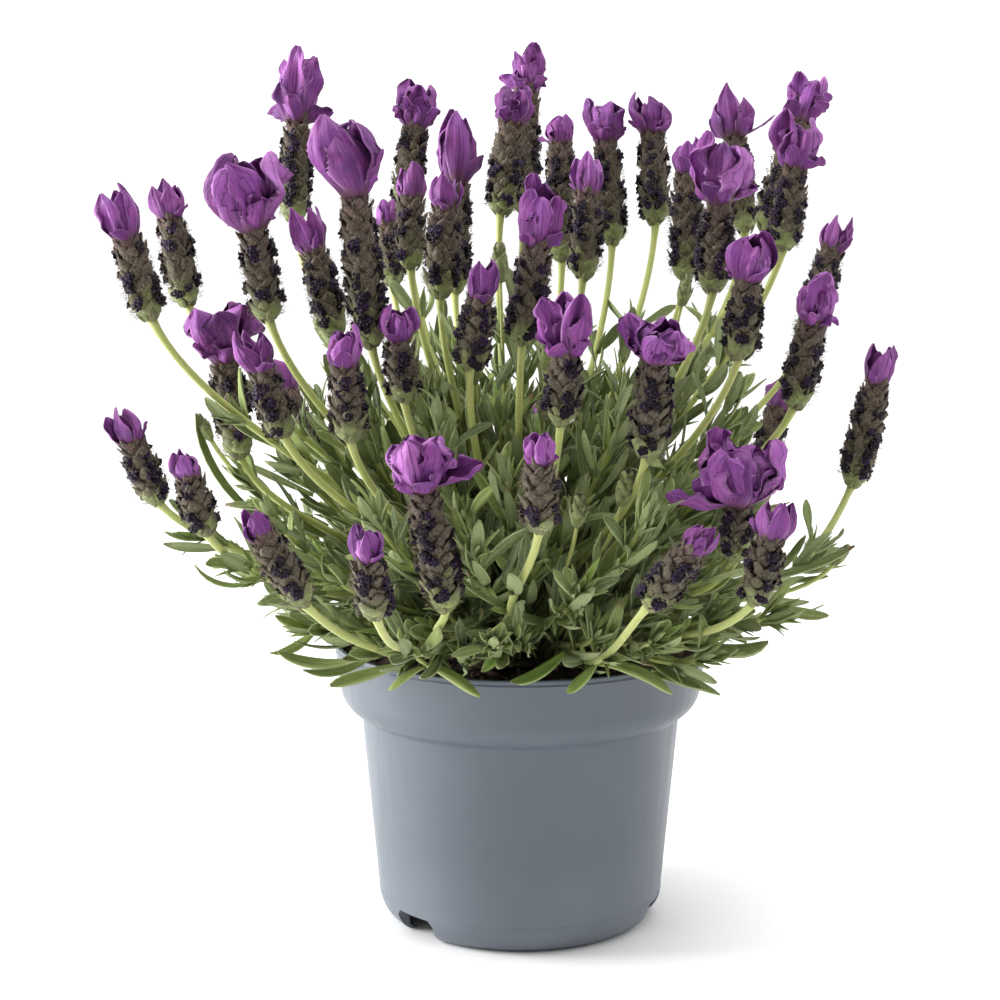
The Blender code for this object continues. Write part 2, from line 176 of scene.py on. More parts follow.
# The shape of each flower's tuft: a closed, b slender and open, c crumpled with a frill.
TUFT_SHAPES = "ccaccacbbc" "aabbaaccac" "abccbaaacc" "acbaaaacaa" "cbbabcba"

# Where the stalks of the low flowers pass over the rim, or rise from a low leafy node (mm from
# the pot's axis and above its rim). They follow the photo, and so run up to about 17 mm away
# from the CAD's plain stalks. Flower 41 has none, because its stalk is hidden in the photo.
WAYPOINTS = {
    34: (112, 4, 28), 35: (-110, -48, 45), 36: (-96, -58, 36), 37: (-48, -66, 8), 38: (-31, -84, 20),
    39: (-37, -80, 12), 40: (-4, -92, 33), 42: (54, -66, 13), 43: (27, -72, 7),
}

# Single long petals that stand out from some tufts: flower, heading, length and half width (mm).
STRAY_PETALS = [
    (8, (-0.90, -0.35, 0.25), 10, 3.6),
    (8, (0.55, -0.80, 0.30), 9, 3.4),
    (9, (0.93, -0.20, 0.30), 17, 2.4),
    (10, (0.85, -0.30, 0.55), 14, 4.2),
    (19, (0.80, -0.35, 0.75), 17, 4.4),
    (23, (-0.85, -0.20, 0.50), 15, 4.0),
    (38, (0.95, -0.20, 0.22), 20, 5.0),
    (38, (-0.70, -0.40, 0.45), 13, 4.2),
    (41, (-0.95, -0.30, -0.10), 24, 5.4),
    (41, (0.75, -0.50, 0.50), 16, 6.0),
    (41, (-0.30, -0.85, 0.45), 15, 6.4),
]

# Leaves that hang over the rim or stand in front of the foliage: start, tip (mm from the
# pot's axis and above its rim), rise of the arch (share of its length), half width (mm), tone.
RIM_LEAVES = [
    # From a node that lies on the front left of the rim.
    ((-35, -72, 6), (-17, -84, -4), 0.22, 3.0, 0.85),
    ((-36, -72, 5), (-45, -83, -3), 0.30, 1.8, 0.85),
    ((-34, -70, 6), (-26, -74, 20), 0.10, 1.9, 0.60),
    ((-37, -68, 6), (-50, -72, 14), 0.16, 2.2, 0.50),
    # From the node under the flower that leans right over the front rim.
    ((28, -70, 6), (50, -84, -8), 0.34, 3.1, 0.80),
    ((27, -71, 6), (20, -83, -4), 0.14, 2.3, 0.95),
    ((27, -70, 7), (22, -72, 23), 0.12, 1.7, 0.70),
    ((28, -69, 8), (34, -70, 30), -0.08, 1.7, 0.60),
    ((29, -68, 8), (40, -68, 24), 0.10, 1.8, 0.55),
    ((27, -68, 8), (29, -69, 26), 0.05, 1.6, 0.75),
    # Bright broad leaves at the middle of the front, and the grey ones behind them.
    ((16, -66, 9), (-10, -79, 4), -0.24, 3.1, 1.00),
    ((-6, -62, 16), (-10, -79, 3), 0.08, 3.2, 1.00),
    ((20, -64, 8), (14, -72, 38), 0.20, 3.2, 0.25),
    ((4, -64, 20), (-22, -76, 12), -0.18, 2.8, 0.20),
    ((-8, -66, 28), (-34, -78, 22), -0.16, 2.8, 0.15),
    ((-44, -58, 3), (-72, -50, 5), -0.20, 2.8, 0.75),
    # Right of the rim.
    ((48, -64, 0), (69, -80, -6), 0.20, 3.4, 0.55),
    ((40, -60, 6), (58, -70, 8), 0.18, 2.8, 0.30),
    ((67, -52, 10), (90, -68, 9), -0.14, 3.8, 0.50),
    ((90, -44, 23), (120, -56, 29), -0.18, 3.1, 0.60),
    ((84, 4, 22), (133, 0, 39), -0.14, 2.3, 0.45),
    ((84, -14, 12), (118, -24, 16), -0.16, 2.6, 0.55),
    # Left of the rim.
    ((-78, -18, 10), (-102, -26, 2), -0.28, 2.4, 0.80),
    ((-62, -44, 2), (-90, -32, 5), -0.30, 2.6, 0.60),
    ((-56, -50, 4), (-84, -60, 2), -0.24, 2.4, 0.55),
    ((-98, -24, 30), (-127, -32, 32), -0.34, 1.5, 0.60),
    ((-98, 2, 44), (-133, 0, 88), -0.22, 2.6, 0.45),
    ((-82, -4, 58), (-123, -10, 67), 0.12, 2.6, 0.50),
    ((-76, -8, 46), (-116, -14, 55), 0.14, 3.2, 0.40),
]

# Young green flower buds: place of the foot (mm from the axis and above the rim), length and
# width (mm).
BUDS = [
    ((-8, -10, 142), 15, 8),
    ((35, -84, 67), 14, 8),
    ((19, -88, 60), 13, 8),
    ((9, -40, 111), 14, 8),
    ((62, -10, 133), 12, 7),
    ((-122, -4, 80), 11, 6),
    ((126, 6, 28), 10, 6),
]

# Every leafy shoot of the CAD model: direction (degrees), tip past the rim and above it (mm),
# and leaf length (mm).
SHOOTS = [
    (-95, 33, 27, 26),
    (-45, 21, 18, 24),
    (-6, 23, 19, 24),
    (28, 25, 18, 26),
    (60, 31, 19, 26),
    (100, 43, 24, 28),
    (141, 35, 23, 26),
    (-171, 35, 21, 26),
    (-122, 35, 25, 26),
]


# ---------------------------------------------------------------- vector tools


def unit(vectors):
    return vectors / np.maximum(np.linalg.norm(vectors, axis=-1, keepdims=True), 1e-12)


def turn(vectors, axes, angles):
    """Rotate each vector about its own unit axis by its own angle."""
    cosine = np.cos(angles)[..., None]
    sine = np.sin(angles)[..., None]
    along = np.sum(vectors * axes, axis=-1, keepdims=True) * axes
    return vectors * cosine + np.cross(axes, vectors) * sine + along * (1.0 - cosine)


def smooth(low, high, value):
    share = np.clip((value - low) / (high - low), 0.0, 1.0)
    return share * share * (3.0 - 2.0 * share)


def bezier(start, leave, arrive, end, shares):
    t = np.asarray(shares)[:, None]
    return ((1 - t) ** 3 * start + 3 * (1 - t) ** 2 * t * leave
            + 3 * (1 - t) * t ** 2 * arrive + t ** 3 * end)


def path_frames(path, side=None):
    """Tangents and two cross directions along a path, without sudden twist."""
    tangents = unit(np.gradient(path, axis=0))
    if side is None:
        helper = np.array([0.0, 0.0, 1.0]) if abs(tangents[0][2]) < 0.9 else np.array([0.0, 1.0, 0.0])
        side = np.cross(tangents[0], helper)
    sides = []
    for tangent in tangents:
        side = unit(side - tangent * np.dot(side, tangent))
        sides.append(side)
    sides = np.array(sides)
    return tangents, sides, np.cross(tangents, sides)


# ---------------------------------------------------------------- mesh builder


class Strips:
    """Collects closed strips, each a grid of rings by ring points, into one mesh.

    Every point carries three values for the materials: tone (one random value for each
    strip), along (0 at its foot, 1 at its tip) and across (-1 to 1 over its width, plus 4 on
    the underside). Each strip has its own cell in the bake map.
    """

    def __init__(self):
        self.blocks = []

    def add(self, points, tone, along, across, material=0):
        count, rings, ring = points.shape[:3]
        tone = np.broadcast_to(np.asarray(tone, float).reshape(-1, 1, 1), (count, rings, ring))
        along = np.broadcast_to(np.asarray(along, float), (count, rings, ring))
        across = np.broadcast_to(np.asarray(across, float), (count, rings, ring))
        self.blocks.append((points, tone, along, across, material))

    def build(self, name, materials):
        totals = []
        corners = []
        maps = []
        slots = []
        offset = 0
        area = sum(self.block_area(block[0]) for block in self.blocks)
        floor = 0.0
        for points, _, _, _, material in self.blocks:
            count, rings, ring = points.shape[:3]
            height = self.block_area(points) / area
            cell_u, cell_v, origin = self.cells(points, floor, height)
            floor += height
            index = offset + np.arange(count * rings * ring).reshape(count, rings, ring)
            after = np.roll(index, -1, axis=2)
            quads = np.stack([index[:, :-1], after[:, :-1], after[:, 1:], index[:, 1:]], axis=-1)
            u = np.arange(ring + 1) / ring * 0.94 + 0.03
            v = np.arange(rings) / (rings - 1) * 0.82 + 0.03
            u0, v0 = np.meshgrid(u[:-1], v[:-1])
            u1, v1 = np.meshgrid(u[1:], v[1:])
            quad_u = np.stack([u0, u1, u1, u0], axis=-1)[None] * cell_u + origin[:, 0, None, None, None]
            quad_v = np.stack([v0, v0, v1, v1], axis=-1)[None] * cell_v + origin[:, 1, None, None, None]
            corners.append(quads.reshape(-1))
            maps.append(np.stack([quad_u.reshape(-1), quad_v.reshape(-1)], axis=-1))
            totals.append(np.full(count * (rings - 1) * ring, 4))
            angle = 2.0 * np.pi * np.arange(ring) / ring
            for end, centre in ((0, 0.27), (rings - 1, 0.73)):
                cap = index[:, end]
                cap_u = centre + 0.16 * np.cos(angle)
                cap_v = 0.93 + 0.045 * np.sin(angle)
                if end == 0:
                    cap = cap[:, ::-1]
                corners.append(cap.reshape(-1))
                cap_map = np.stack([cap_u[None] * cell_u + origin[:, 0, None],
                                    cap_v[None] * cell_v + origin[:, 1, None]], axis=-1)
                maps.append(cap_map.reshape(-1, 2))
                totals.append(np.full(count, ring))
            faces = count * (rings - 1) * ring + 2 * count
            slots.append(np.full(faces, material))
            offset += count * rings * ring
        totals = np.concatenate(totals)
        corners = np.concatenate(corners)
        starts = np.concatenate([[0], np.cumsum(totals)[:-1]])

        mesh = bpy.data.meshes.new(name)
        mesh.vertices.add(offset)
        mesh.vertices.foreach_set("co", np.concatenate(
            [block[0].reshape(-1) for block in self.blocks]).astype(np.float32))
        mesh.loops.add(len(corners))
        mesh.loops.foreach_set("vertex_index", corners.astype(np.int32))
        mesh.polygons.add(len(totals))
        mesh.polygons.foreach_set("loop_start", starts.astype(np.int32))
        mesh.polygons.foreach_set("material_index", np.concatenate(slots).astype(np.int32))
        mesh.update(calc_edges=True)
        mesh.shade_smooth()
        for slot, label in enumerate(("tone", "along", "across"), start=1):
            values = np.concatenate([block[slot].reshape(-1) for block in self.blocks])
            attribute = mesh.attributes.new(label, "FLOAT", "POINT")
            attribute.data.foreach_set("value", values.astype(np.float32))
        uv = mesh.uv_layers.new(name="OFBake")
        uv.data.foreach_set("uv", np.concatenate(maps).reshape(-1).astype(np.float32))
        for material in materials:
            mesh.materials.append(material)
        piece = bpy.data.objects.new(name, mesh)
        bpy.context.scene.collection.objects.link(piece)
        return piece

    @staticmethod
    def block_area(points):
        girth = np.linalg.norm(np.roll(points, -1, axis=2) - points, axis=-1).sum(axis=2).mean()
        reach = np.linalg.norm(np.diff(points, axis=1), axis=-1).sum(axis=1).mean()
        return len(points) * max(girth * reach, 1e-9)

    @staticmethod
    def cells(points, floor, height):
        """The size of a cell of the bake map, and the corner of each strip's own cell."""
        count = len(points)
        girth = np.linalg.norm(np.roll(points, -1, axis=2) - points, axis=-1).sum(axis=2).mean()
        reach = np.linalg.norm(np.diff(points, axis=1), axis=-1).sum(axis=1).mean()
        shape = max(0.02, min(50.0, reach / max(girth, 1e-9)))
        columns = max(1, int(math.ceil(math.sqrt(count * shape / height))))
        columns = min(columns, count)
        rows = int(math.ceil(count / columns))
        cell_u = 1.0 / columns
        cell_v = height / rows
        number = np.arange(count)
        origin = np.stack([(number % columns) * cell_u, floor + (number // columns) * cell_v], axis=-1)
        return cell_u, cell_v, origin


def ribbons(base, heading, top, length, half_width, outline, section, bend=0.0, yaw=0.0, twist=0.0,
            early=0.0):
    """Many blades at once: leaves, petals and bracts.

    outline: half width at each station, as a share of half_width.
    section: function of (across, along, strip number column) -> height as a share of half_width.
    bend turns the blade towards its top side over its length, yaw turns it sideways, and
    twist turns it about its own line. early moves the bending towards the foot.
    """
    count = len(base)
    stations = len(outline)
    bend, yaw, twist, length, half_width = (
        np.broadcast_to(np.asarray(value, float), (count,))
        for value in (bend, yaw, twist, length, half_width))
    tangent = unit(heading)
    normal = unit(top - tangent * np.sum(top * tangent, axis=-1, keepdims=True))
    side = np.cross(tangent, normal)
    centre = base.copy()
    centres = [centre]
    sides = [side]
    normals = [normal]
    share = np.linspace(1.0 + early, 1.0 - early, stations - 1) / (stations - 1)
    for step in range(stations - 1):
        part = share[step]
        tangent, normal = turn(tangent, side, bend * part), turn(normal, side, bend * part)
        tangent, side = turn(tangent, normal, yaw * part), turn(side, normal, yaw * part)
        normal, side = turn(normal, tangent, twist * part), turn(side, tangent, twist * part)
        centre = centre + tangent * (length / (stations - 1))[:, None]
        centres.append(centre)
        sides.append(side)
        normals.append(normal)
    centres = np.stack(centres, axis=1)[:, :, None]
    sides = np.stack(sides, axis=1)[:, :, None]
    normals = np.stack(normals, axis=1)[:, :, None]
    across, lift, under = section
    along = np.linspace(0.0, 1.0, stations)
    width = (half_width[:, None] * outline[None])[:, :, None]
    a = across[None, None]
    height = lift(a, along[None, :, None], np.arange(count)[:, None, None]) * width + under[None, None]
    points = centres + sides * (a * width)[..., None] + normals * height[..., None]
    marks = across + np.where(under < 0.0, UNDERSIDE, 0.0)
    return points, along[None, :, None], marks[None, None]


def blade_section(top_points, thickness, lift):
    """Ring of a blade: its top side from edge to edge, then its underside back."""
    top = np.array(top_points)
    bottom = top[1:-1][::-1]
    across = np.concatenate([top, bottom])
    under = np.concatenate([np.zeros(len(top)), np.full(len(bottom), -thickness)])
    return across, lift, under


def tube(path, radii, ring=8, square=0.0, side=None, phase=0.0):
    """A tube along a path, one strip. square above 0 gives it four flat sides."""
    _, sides, ups = path_frames(path, side)
    angle = 2.0 * np.pi * (np.arange(ring) + 0.5) / ring + phase
    swell = 1.0 + square * np.cos(4.0 * angle)
    cos = (np.cos(angle) * swell)[None, :, None]
    sin = (np.sin(angle) * swell)[None, :, None]
    offset = sides[:, None] * cos + ups[:, None] * sin
    points = path[:, None] + offset * np.asarray(radii)[:, None, None]
    across = np.cos(2.0 * angle)
    return points[None], across[None, None]


# ---------------------------------------------------------------- plant layout


def crown_sphere():
    radius = (CROWN_RADIUS ** 2 + CROWN_HEIGHT ** 2) / (2.0 * CROWN_HEIGHT)
    return np.array([0.0, 0.0, CROWN_HIGH.z - radius]), radius


def crown_point(x, y):
    centre, radius = crown_sphere()
    normal = unit(np.array([x, y, math.sqrt(radius ** 2 - x * x - y * y)]))
    return centre + normal * (radius + CLEARANCE), normal


def push_apart(points, spacing, reach):
    points = [Vector(point) for point in points]
    for _ in range(400):
        moved = False
        for first in range(len(points)):
            for second in range(first + 1, len(points)):
                gap = points[second] - points[first]
                short = spacing - gap.length
                if short > 1e-6:
                    shift = gap.normalized() * (0.5 * short)
                    points[first] -= shift
                    points[second] += shift
                    moved = True
        for point in points:
            if point.length > reach:
                point *= reach / point.length
        if not moved:
            break
    return points


def root_places():
    places = []
    for x, y, z, *_ in FLOWERS:
        tilt = math.atan2(math.hypot(x, y) * MM, z * MM + POT_HEIGHT - SOIL_TOP)
        distance = ROOT_REACH * CROWN_RADIUS * min(1.0, tilt / ROOT_TILT)
        places.append(Vector((x, y)).normalized() * distance)
    return push_apart(places, ROOT_SPACING, ROOT_REACH * CROWN_RADIUS)


def lean_vector(lean_x, lean_front):
    return unit(np.array([math.tan(math.radians(lean_x)), -math.tan(math.radians(lean_front)), 1.0]))


class Flower:
    """Where one flowering stem runs, and the sizes of its head."""

    def __init__(self, number, row, root):
        x, y, z, lean_x, lean_front, spike, tuft, tuft_width = row
        self.number = number
        self.foot = np.array([x * MM, y * MM, POT_HEIGHT + z * MM])
        self.axis = lean_vector(lean_x, lean_front)
        self.spike = spike * MM
        self.tuft = tuft * MM
        self.tuft_width = tuft_width * MM
        self.spike_radius = SPIKE_RADIUS * (SLIM_SPIKE + (1.0 - SLIM_SPIKE) * min(1.0, spike / FULL_SPIKE))
        start, leave = crown_point(root.x, root.y)
        reach = np.linalg.norm(self.foot - start)
        if number in WAYPOINTS:
            middle = np.array(WAYPOINTS[number]) * MM + np.array([0.0, 0.0, POT_HEIGHT])
            onward = self.foot - middle
            inward = np.linalg.norm(middle - start)
            along = unit(unit(onward) + 0.5 * unit(middle - start))
            first = bezier(start, start + leave * 0.3 * inward, middle - along * 0.35 * inward, middle,
                           np.linspace(0.0, 1.0, 14))
            arrive = unit(self.axis + 1.3 * unit(onward))
            onward = np.linalg.norm(onward)
            second = bezier(middle, middle + along * 0.35 * onward, self.foot - arrive * 0.35 * onward,
                            self.foot, np.linspace(0.0, 1.0, 17))
            self.path = np.concatenate([first, second[1:]])
        else:
            arrive = unit(self.axis + 0.5 * unit(self.foot - start))
            self.path = bezier(start, start + leave * 0.3 * reach, self.foot - arrive * 0.3 * reach,
                               self.foot, np.linspace(0.0, 1.0, 30))
        self.reach = reach
        self.shape = TUFT_SHAPES[number - 1]
        self.rng = np.random.default_rng(700 + number)


# ---------------------------------------------------------------- materials


class Nodes:
    """Short way to write a material's node tree."""

    def __init__(self, name):
        self.material = bpy.data.materials.new(name)
        self.material.use_nodes = True
        self.tree = self.material.node_tree
        self.shader = self.tree.nodes["Principled BSDF"]

    def add(self, kind, **settings):
        node = self.tree.nodes.new(kind)
        for key, value in settings.items():
            setattr(node, key, value)
        return node

    def link(self, source, target):
        self.tree.links.new(source, target)

    def put(self, node, name, value):
        socket = node.inputs[name]
        if isinstance(value, bpy.types.NodeSocket):
            self.link(value, socket)
        else:
            socket.default_value = value

    def attribute(self, name):
        return self.add("ShaderNodeAttribute", attribute_name=name).outputs["Fac"]

    def blade_sides(self, across):
        """Whether a point is on the underside, its place from edge to edge, and its size."""
        under = self.span(across, 1.6, 2.4)
        folded = self.math("SUBTRACT", across, self.math("MULTIPLY", under, UNDERSIDE))
        return under, folded, self.math("ABSOLUTE", folded)

    def place(self):
        return self.add("ShaderNodeTexCoord").outputs["Object"]

    def noise(self, scale, detail=3.0, rough=0.55, vector=None):
        node = self.add("ShaderNodeTexNoise")
        self.put(node, "Vector", vector if vector is not None else self.place())
        self.put(node, "Scale", scale)
        self.put(node, "Detail", detail)
        self.put(node, "Roughness", rough)
        return node.outputs["Fac"]

    def math(self, operation, first, second=0.0, clamp=False):
        node = self.add("ShaderNodeMath", operation=operation, use_clamp=clamp)
        self.put(node, 0, first)
        self.put(node, 1, second)
        return node.outputs[0]

    def span(self, value, low, high, to_low=0.0, to_high=1.0):
        node = self.add("ShaderNodeMapRange", interpolation_type="SMOOTHSTEP")
        self.put(node, "Value", value)
        self.put(node, "From Min", low)
        self.put(node, "From Max", high)
        self.put(node, "To Min", to_low)
        self.put(node, "To Max", to_high)
        return node.outputs["Result"]

    def mix(self, share, first, second, blend="MIX"):
        node = self.add("ShaderNodeMix", data_type="RGBA", blend_type=blend)
        self.put(node, 0, share)
        self.put(node, 6, first if isinstance(first, bpy.types.NodeSocket) else (*first, 1.0))
        self.put(node, 7, second if isinstance(second, bpy.types.NodeSocket) else (*second, 1.0))
        return node.outputs[2]

    def tint(self, colour, value, low, high, share, other):
        """Mix in another colour, up to a share, where the value goes from low to high."""
        return self.mix(self.span(value, low, high, 0.0, share), colour, other)

    def ramp(self, value, stops):
        node = self.add("ShaderNodeValToRGB")
        elements = node.color_ramp.elements
        while len(elements) < len(stops):
            elements.new(0.5)
        for element, (position, colour) in zip(elements, stops):
            element.position = position
            element.color = (*colour, 1.0)
        self.put(node, "Fac", value)
        return node.outputs["Color"]

    def bump(self, height, distance, strength=1.0):
        node = self.add("ShaderNodeBump")
        self.put(node, "Height", height)
        self.put(node, "Distance", distance)
        self.put(node, "Strength", strength)
        return node.outputs["Normal"]

    def finish(self, colour, roughness, normal=None, **sockets):
        self.put(self.shader, "Base Color", colour)
        self.put(self.shader, "Roughness", roughness)
        if normal is not None:
            self.put(self.shader, "Normal", normal)
        for name, value in sockets.items():
            self.put(self.shader, name.replace("_", " "), value)
        return self.material


def leaf_material():
    n = Nodes("leaf")
    across = n.attribute("across")
    along = n.attribute("along")
    tone = n.attribute("tone")
    under, _, edge = n.blade_sides(across)
    mottle = n.noise(420.0, 4.0, 0.6)
    fleck = n.noise(2600.0, 2.0, 0.6)
    green = n.ramp(tone, [(0.0, (0.040, 0.066, 0.015)), (0.35, (0.088, 0.130, 0.027)),
                          (0.7, (0.195, 0.250, 0.054)), (0.9, (0.26, 0.34, 0.060)),
                          (1.0, (0.17, 0.30, 0.026))])
    green = n.mix(n.span(mottle, 0.35, 0.7), green, n.mix(0.3, green, (0.27, 0.33, 0.15)))
    green = n.mix(n.span(along, 0.22, 0.0), green, (0.26, 0.36, 0.07))
    rib = n.span(edge, 0.16, 0.0)
    green = n.mix(n.math("MULTIPLY", rib, 0.6), green, (0.33, 0.41, 0.14))
    branch = n.math("ADD", n.math("MULTIPLY", along, 46.0), n.math("MULTIPLY", edge, -9.0))
    branch = n.span(n.math("ABSOLUTE", n.math("SINE", branch)), 0.35, 0.0)
    green = n.mix(n.math("MULTIPLY", branch, 0.25), green, (0.30, 0.37, 0.14))
    margin = n.span(edge, 0.82, 0.97)
    green = n.mix(n.math("MULTIPLY", margin, 0.6), green, (0.46, 0.50, 0.24))
    felt = n.mix(n.span(fleck, 0.3, 0.7), (0.21, 0.27, 0.10), (0.37, 0.42, 0.20))
    colour = n.mix(n.math("MULTIPLY", under, 0.75), green, felt)
    colour = n.tint(colour, fleck, 0.62, 0.8, 0.3, (0.42, 0.47, 0.28))
    withered = n.math("MULTIPLY", n.span(along, 0.86, 1.0), n.span(n.noise(60.0, 1.0), 0.55, 0.7))
    colour = n.mix(withered, colour, (0.16, 0.085, 0.04))
    height = n.math("ADD", n.math("MULTIPLY", fleck, 0.5), n.math("SUBTRACT", mottle, branch))
    return n.finish(colour, n.span(mottle, 0.3, 0.7, 0.55, 0.72), n.bump(height, 0.00025, 0.7),
                    Sheen_Weight=0.08, Sheen_Roughness=0.5)


def stalk_material():
    n = Nodes("stalk")
    along = n.attribute("along")
    ridge = n.attribute("across")
    blotch = n.noise(160.0, 3.0)
    fine = n.noise(2200.0, 2.0)
    colour = n.ramp(along, [(0.0, (0.12, 0.14, 0.035)), (0.25, (0.20, 0.27, 0.05)),
                            (0.6, (0.32, 0.375, 0.078)), (1.0, (0.38, 0.43, 0.115))])
    colour = n.tint(colour, blotch, 0.35, 0.7, 0.5, (0.47, 0.46, 0.16))
    colour = n.tint(colour, ridge, 0.2, 1.0, 0.35, (0.50, 0.56, 0.26))
    colour = n.tint(colour, fine, 0.55, 0.75, 0.3, (0.58, 0.61, 0.38))
    return n.finish(colour, 0.55, n.bump(fine, 0.0002, 0.5), Sheen_Weight=0.15, Sheen_Roughness=0.5)


def bract_material():
    """The overlapping woolly bracts of a spike: green at its foot, brown above."""
    n = Nodes("woolly_bract")
    along = n.attribute("along")
    tone = n.attribute("tone")
    across = n.attribute("across")
    blotch = n.noise(900.0, 3.0, 0.6)
    wool = n.noise(3600.0, 3.0, 0.7)
    colour = n.ramp(tone, [(0.0, (0.20, 0.25, 0.065)), (0.12, (0.130, 0.145, 0.045)),
                           (0.28, (0.078, 0.076, 0.034)), (0.55, (0.066, 0.054, 0.030)),
                           (0.8, (0.090, 0.050, 0.038)), (1.0, (0.15, 0.055, 0.065))])
    dark = n.tint(colour, along, 0.35, 0.95, 0.75, (0.030, 0.018, 0.018))
    colour = n.mix(n.span(tone, 0.03, 0.2), colour, dark)
    colour = n.tint(colour, blotch, 0.5, 0.34, 0.6, (0.020, 0.013, 0.012))
    colour = n.tint(colour, blotch, 0.5, 0.7, 0.6, (0.155, 0.130, 0.072))
    rim = n.math("MULTIPLY", n.span(n.math("ABSOLUTE", across), 0.72, 1.0), 0.5)
    colour = n.mix(rim, colour, (0.24, 0.19, 0.135))
    thread = n.span(n.math("ABSOLUTE", n.math("SUBTRACT", n.noise(1150.0, 4.0, 0.6), 0.5)), 0.045, 0.0)
    colour = n.mix(n.math("MULTIPLY", thread, 0.6), colour, (0.36, 0.29, 0.18))
    colour = n.tint(colour, wool, 0.56, 0.76, 0.5, (0.27, 0.21, 0.135))
    height = n.math("ADD", wool, n.math("MULTIPLY", blotch, 0.6))
    return n.finish(colour, 0.82, n.bump(height, 0.0005, 0.9), Sheen_Weight=0.1, Sheen_Roughness=0.45)


def green_bract_material():
    n = Nodes("green_bract")
    across = n.attribute("across")
    along = n.attribute("along")
    tone = n.attribute("tone")
    vein = n.math("ABSOLUTE", n.math("SINE", n.math("MULTIPLY", across, 11.0)))
    blotch = n.noise(420.0, 3.0)
    fuzz = n.noise(3000.0, 2.0)
    colour = n.mix(tone, (0.15, 0.20, 0.042), (0.24, 0.29, 0.078))
    colour = n.tint(colour, vein, 0.4, 0.0, 0.5, (0.33, 0.39, 0.14))
    colour = n.tint(colour, along, 0.5, 1.0, 0.65, (0.11, 0.078, 0.045))
    colour = n.tint(colour, blotch, 0.42, 0.68, 0.6, (0.085, 0.085, 0.040))
    colour = n.tint(colour, fuzz, 0.55, 0.75, 0.4, (0.36, 0.38, 0.24))
    height = n.math("ADD", n.math("MULTIPLY", vein, 0.5), fuzz)
    return n.finish(colour, 0.65, n.bump(height, 0.0003, 0.6), Sheen_Weight=0.2, Sheen_Roughness=0.5)


def floret_material():
    n = Nodes("dark_floret")
    along = n.attribute("along")
    tone = n.attribute("tone")
    colour = n.ramp(tone, [(0.0, (0.005, 0.003, 0.006)), (0.6, (0.011, 0.004, 0.016)),
                           (1.0, (0.032, 0.011, 0.052))])
    colour = n.tint(colour, along, 0.8, 1.0, 0.4, (0.05, 0.018, 0.05))
    shine = n.noise(2400.0, 2.0)
    return n.finish(colour, n.span(shine, 0.3, 0.7, 0.3, 0.6), n.bump(shine, 0.0002, 0.5),
                    Specular_IOR_Level=0.22)


def wool_material():
    n = Nodes("pale_wool")
    tone = n.attribute("tone")
    colour = n.ramp(tone, [(0.0, (0.13, 0.10, 0.07)), (0.5, (0.28, 0.22, 0.165)), (1.0, (0.50, 0.42, 0.35))])
    colour = n.mix(n.noise(900.0), colour, (0.21, 0.165, 0.12))
    return n.finish(colour, 0.8)


def petal_material():
    n = Nodes("purple_petal")
    across = n.attribute("across")
    along = n.attribute("along")
    tone = n.attribute("tone")
    under, folded, edge = n.blade_sides(across)
    wander = n.noise(260.0, 3.0)
    blush = n.noise(110.0, 2.0)
    line = n.math("ADD", n.math("MULTIPLY", folded, 13.0), n.math("MULTIPLY", wander, 5.0))
    vein = n.math("ABSOLUTE", n.math("SINE", line))
    vein = n.span(vein, 0.36, 0.0)
    colour = n.ramp(tone, [(0.0, (0.085, 0.020, 0.115)), (0.35, (0.165, 0.034, 0.205)),
                           (0.7, (0.255, 0.062, 0.310)), (1.0, (0.42, 0.150, 0.46))])
    colour = n.tint(colour, blush, 0.35, 0.7, 0.5, (0.29, 0.055, 0.25))
    colour = n.tint(colour, wander, 0.5, 0.75, 0.35, (0.12, 0.025, 0.17))
    colour = n.tint(colour, along, 0.5, 0.22, 0.6, (0.13, 0.030, 0.14))
    colour = n.tint(colour, along, 0.26, 0.04, 0.9, (0.095, 0.040, 0.040))
    colour = n.mix(n.math("MULTIPLY", vein, 0.6), colour, (0.085, 0.016, 0.11))
    rib = n.span(edge, 0.08, 0.0)
    colour = n.mix(n.math("MULTIPLY", rib, 0.7), colour, (0.10, 0.018, 0.13))
    colour = n.tint(colour, edge, 0.84, 1.0, 0.5, (0.56, 0.27, 0.58))
    height = n.math("ADD", n.math("MULTIPLY", vein, -0.6), wander)
    return n.finish(colour, n.span(wander, 0.3, 0.7, 0.5, 0.68), n.bump(height, 0.0005, 0.7),
                    Specular_IOR_Level=0.35, Sheen_Weight=0.04, Sheen_Roughness=0.4)


def pot_material():
    n = Nodes("grey_pot_plastic")
    cloud = n.noise(18.0, 3.0)
    grain = n.noise(1500.0, 3.0)
    stretch = n.add("ShaderNodeMapping")
    n.put(stretch, "Vector", n.place())
    n.put(stretch, "Scale", (1.0, 1.0, 0.05))
    streak = n.noise(260.0, 3.0, 0.6, stretch.outputs["Vector"])
    colour = n.mix(n.span(cloud, 0.3, 0.7), (0.086, 0.103, 0.126), (0.096, 0.115, 0.140))
    colour = n.tint(colour, streak, 0.55, 0.8, 0.18, (0.135, 0.152, 0.178))
    level = n.add("ShaderNodeSeparateXYZ")
    n.put(level, "Vector", n.place())
    # Painted light: the pot grows lighter in cloudy patches towards its foot, from 45 mm down, standing in
    # for light bounced off the pale floor.
    painted_floor_bounce = n.math("MULTIPLY", n.span(level.outputs["Z"], 0.045, 0.004), n.span(cloud, 0.2, 0.8, 0.4, 0.8))
    colour = n.mix(painted_floor_bounce, colour, (0.155, 0.175, 0.205))
    rough = n.math("ADD", n.span(streak, 0.3, 0.7, 0.34, 0.44), n.span(grain, 0.3, 0.7, 0.0, 0.05))
    height = n.math("ADD", n.math("MULTIPLY", grain, 0.4), streak)
    return n.finish(colour, rough, n.bump(height, 0.00006, 0.5))


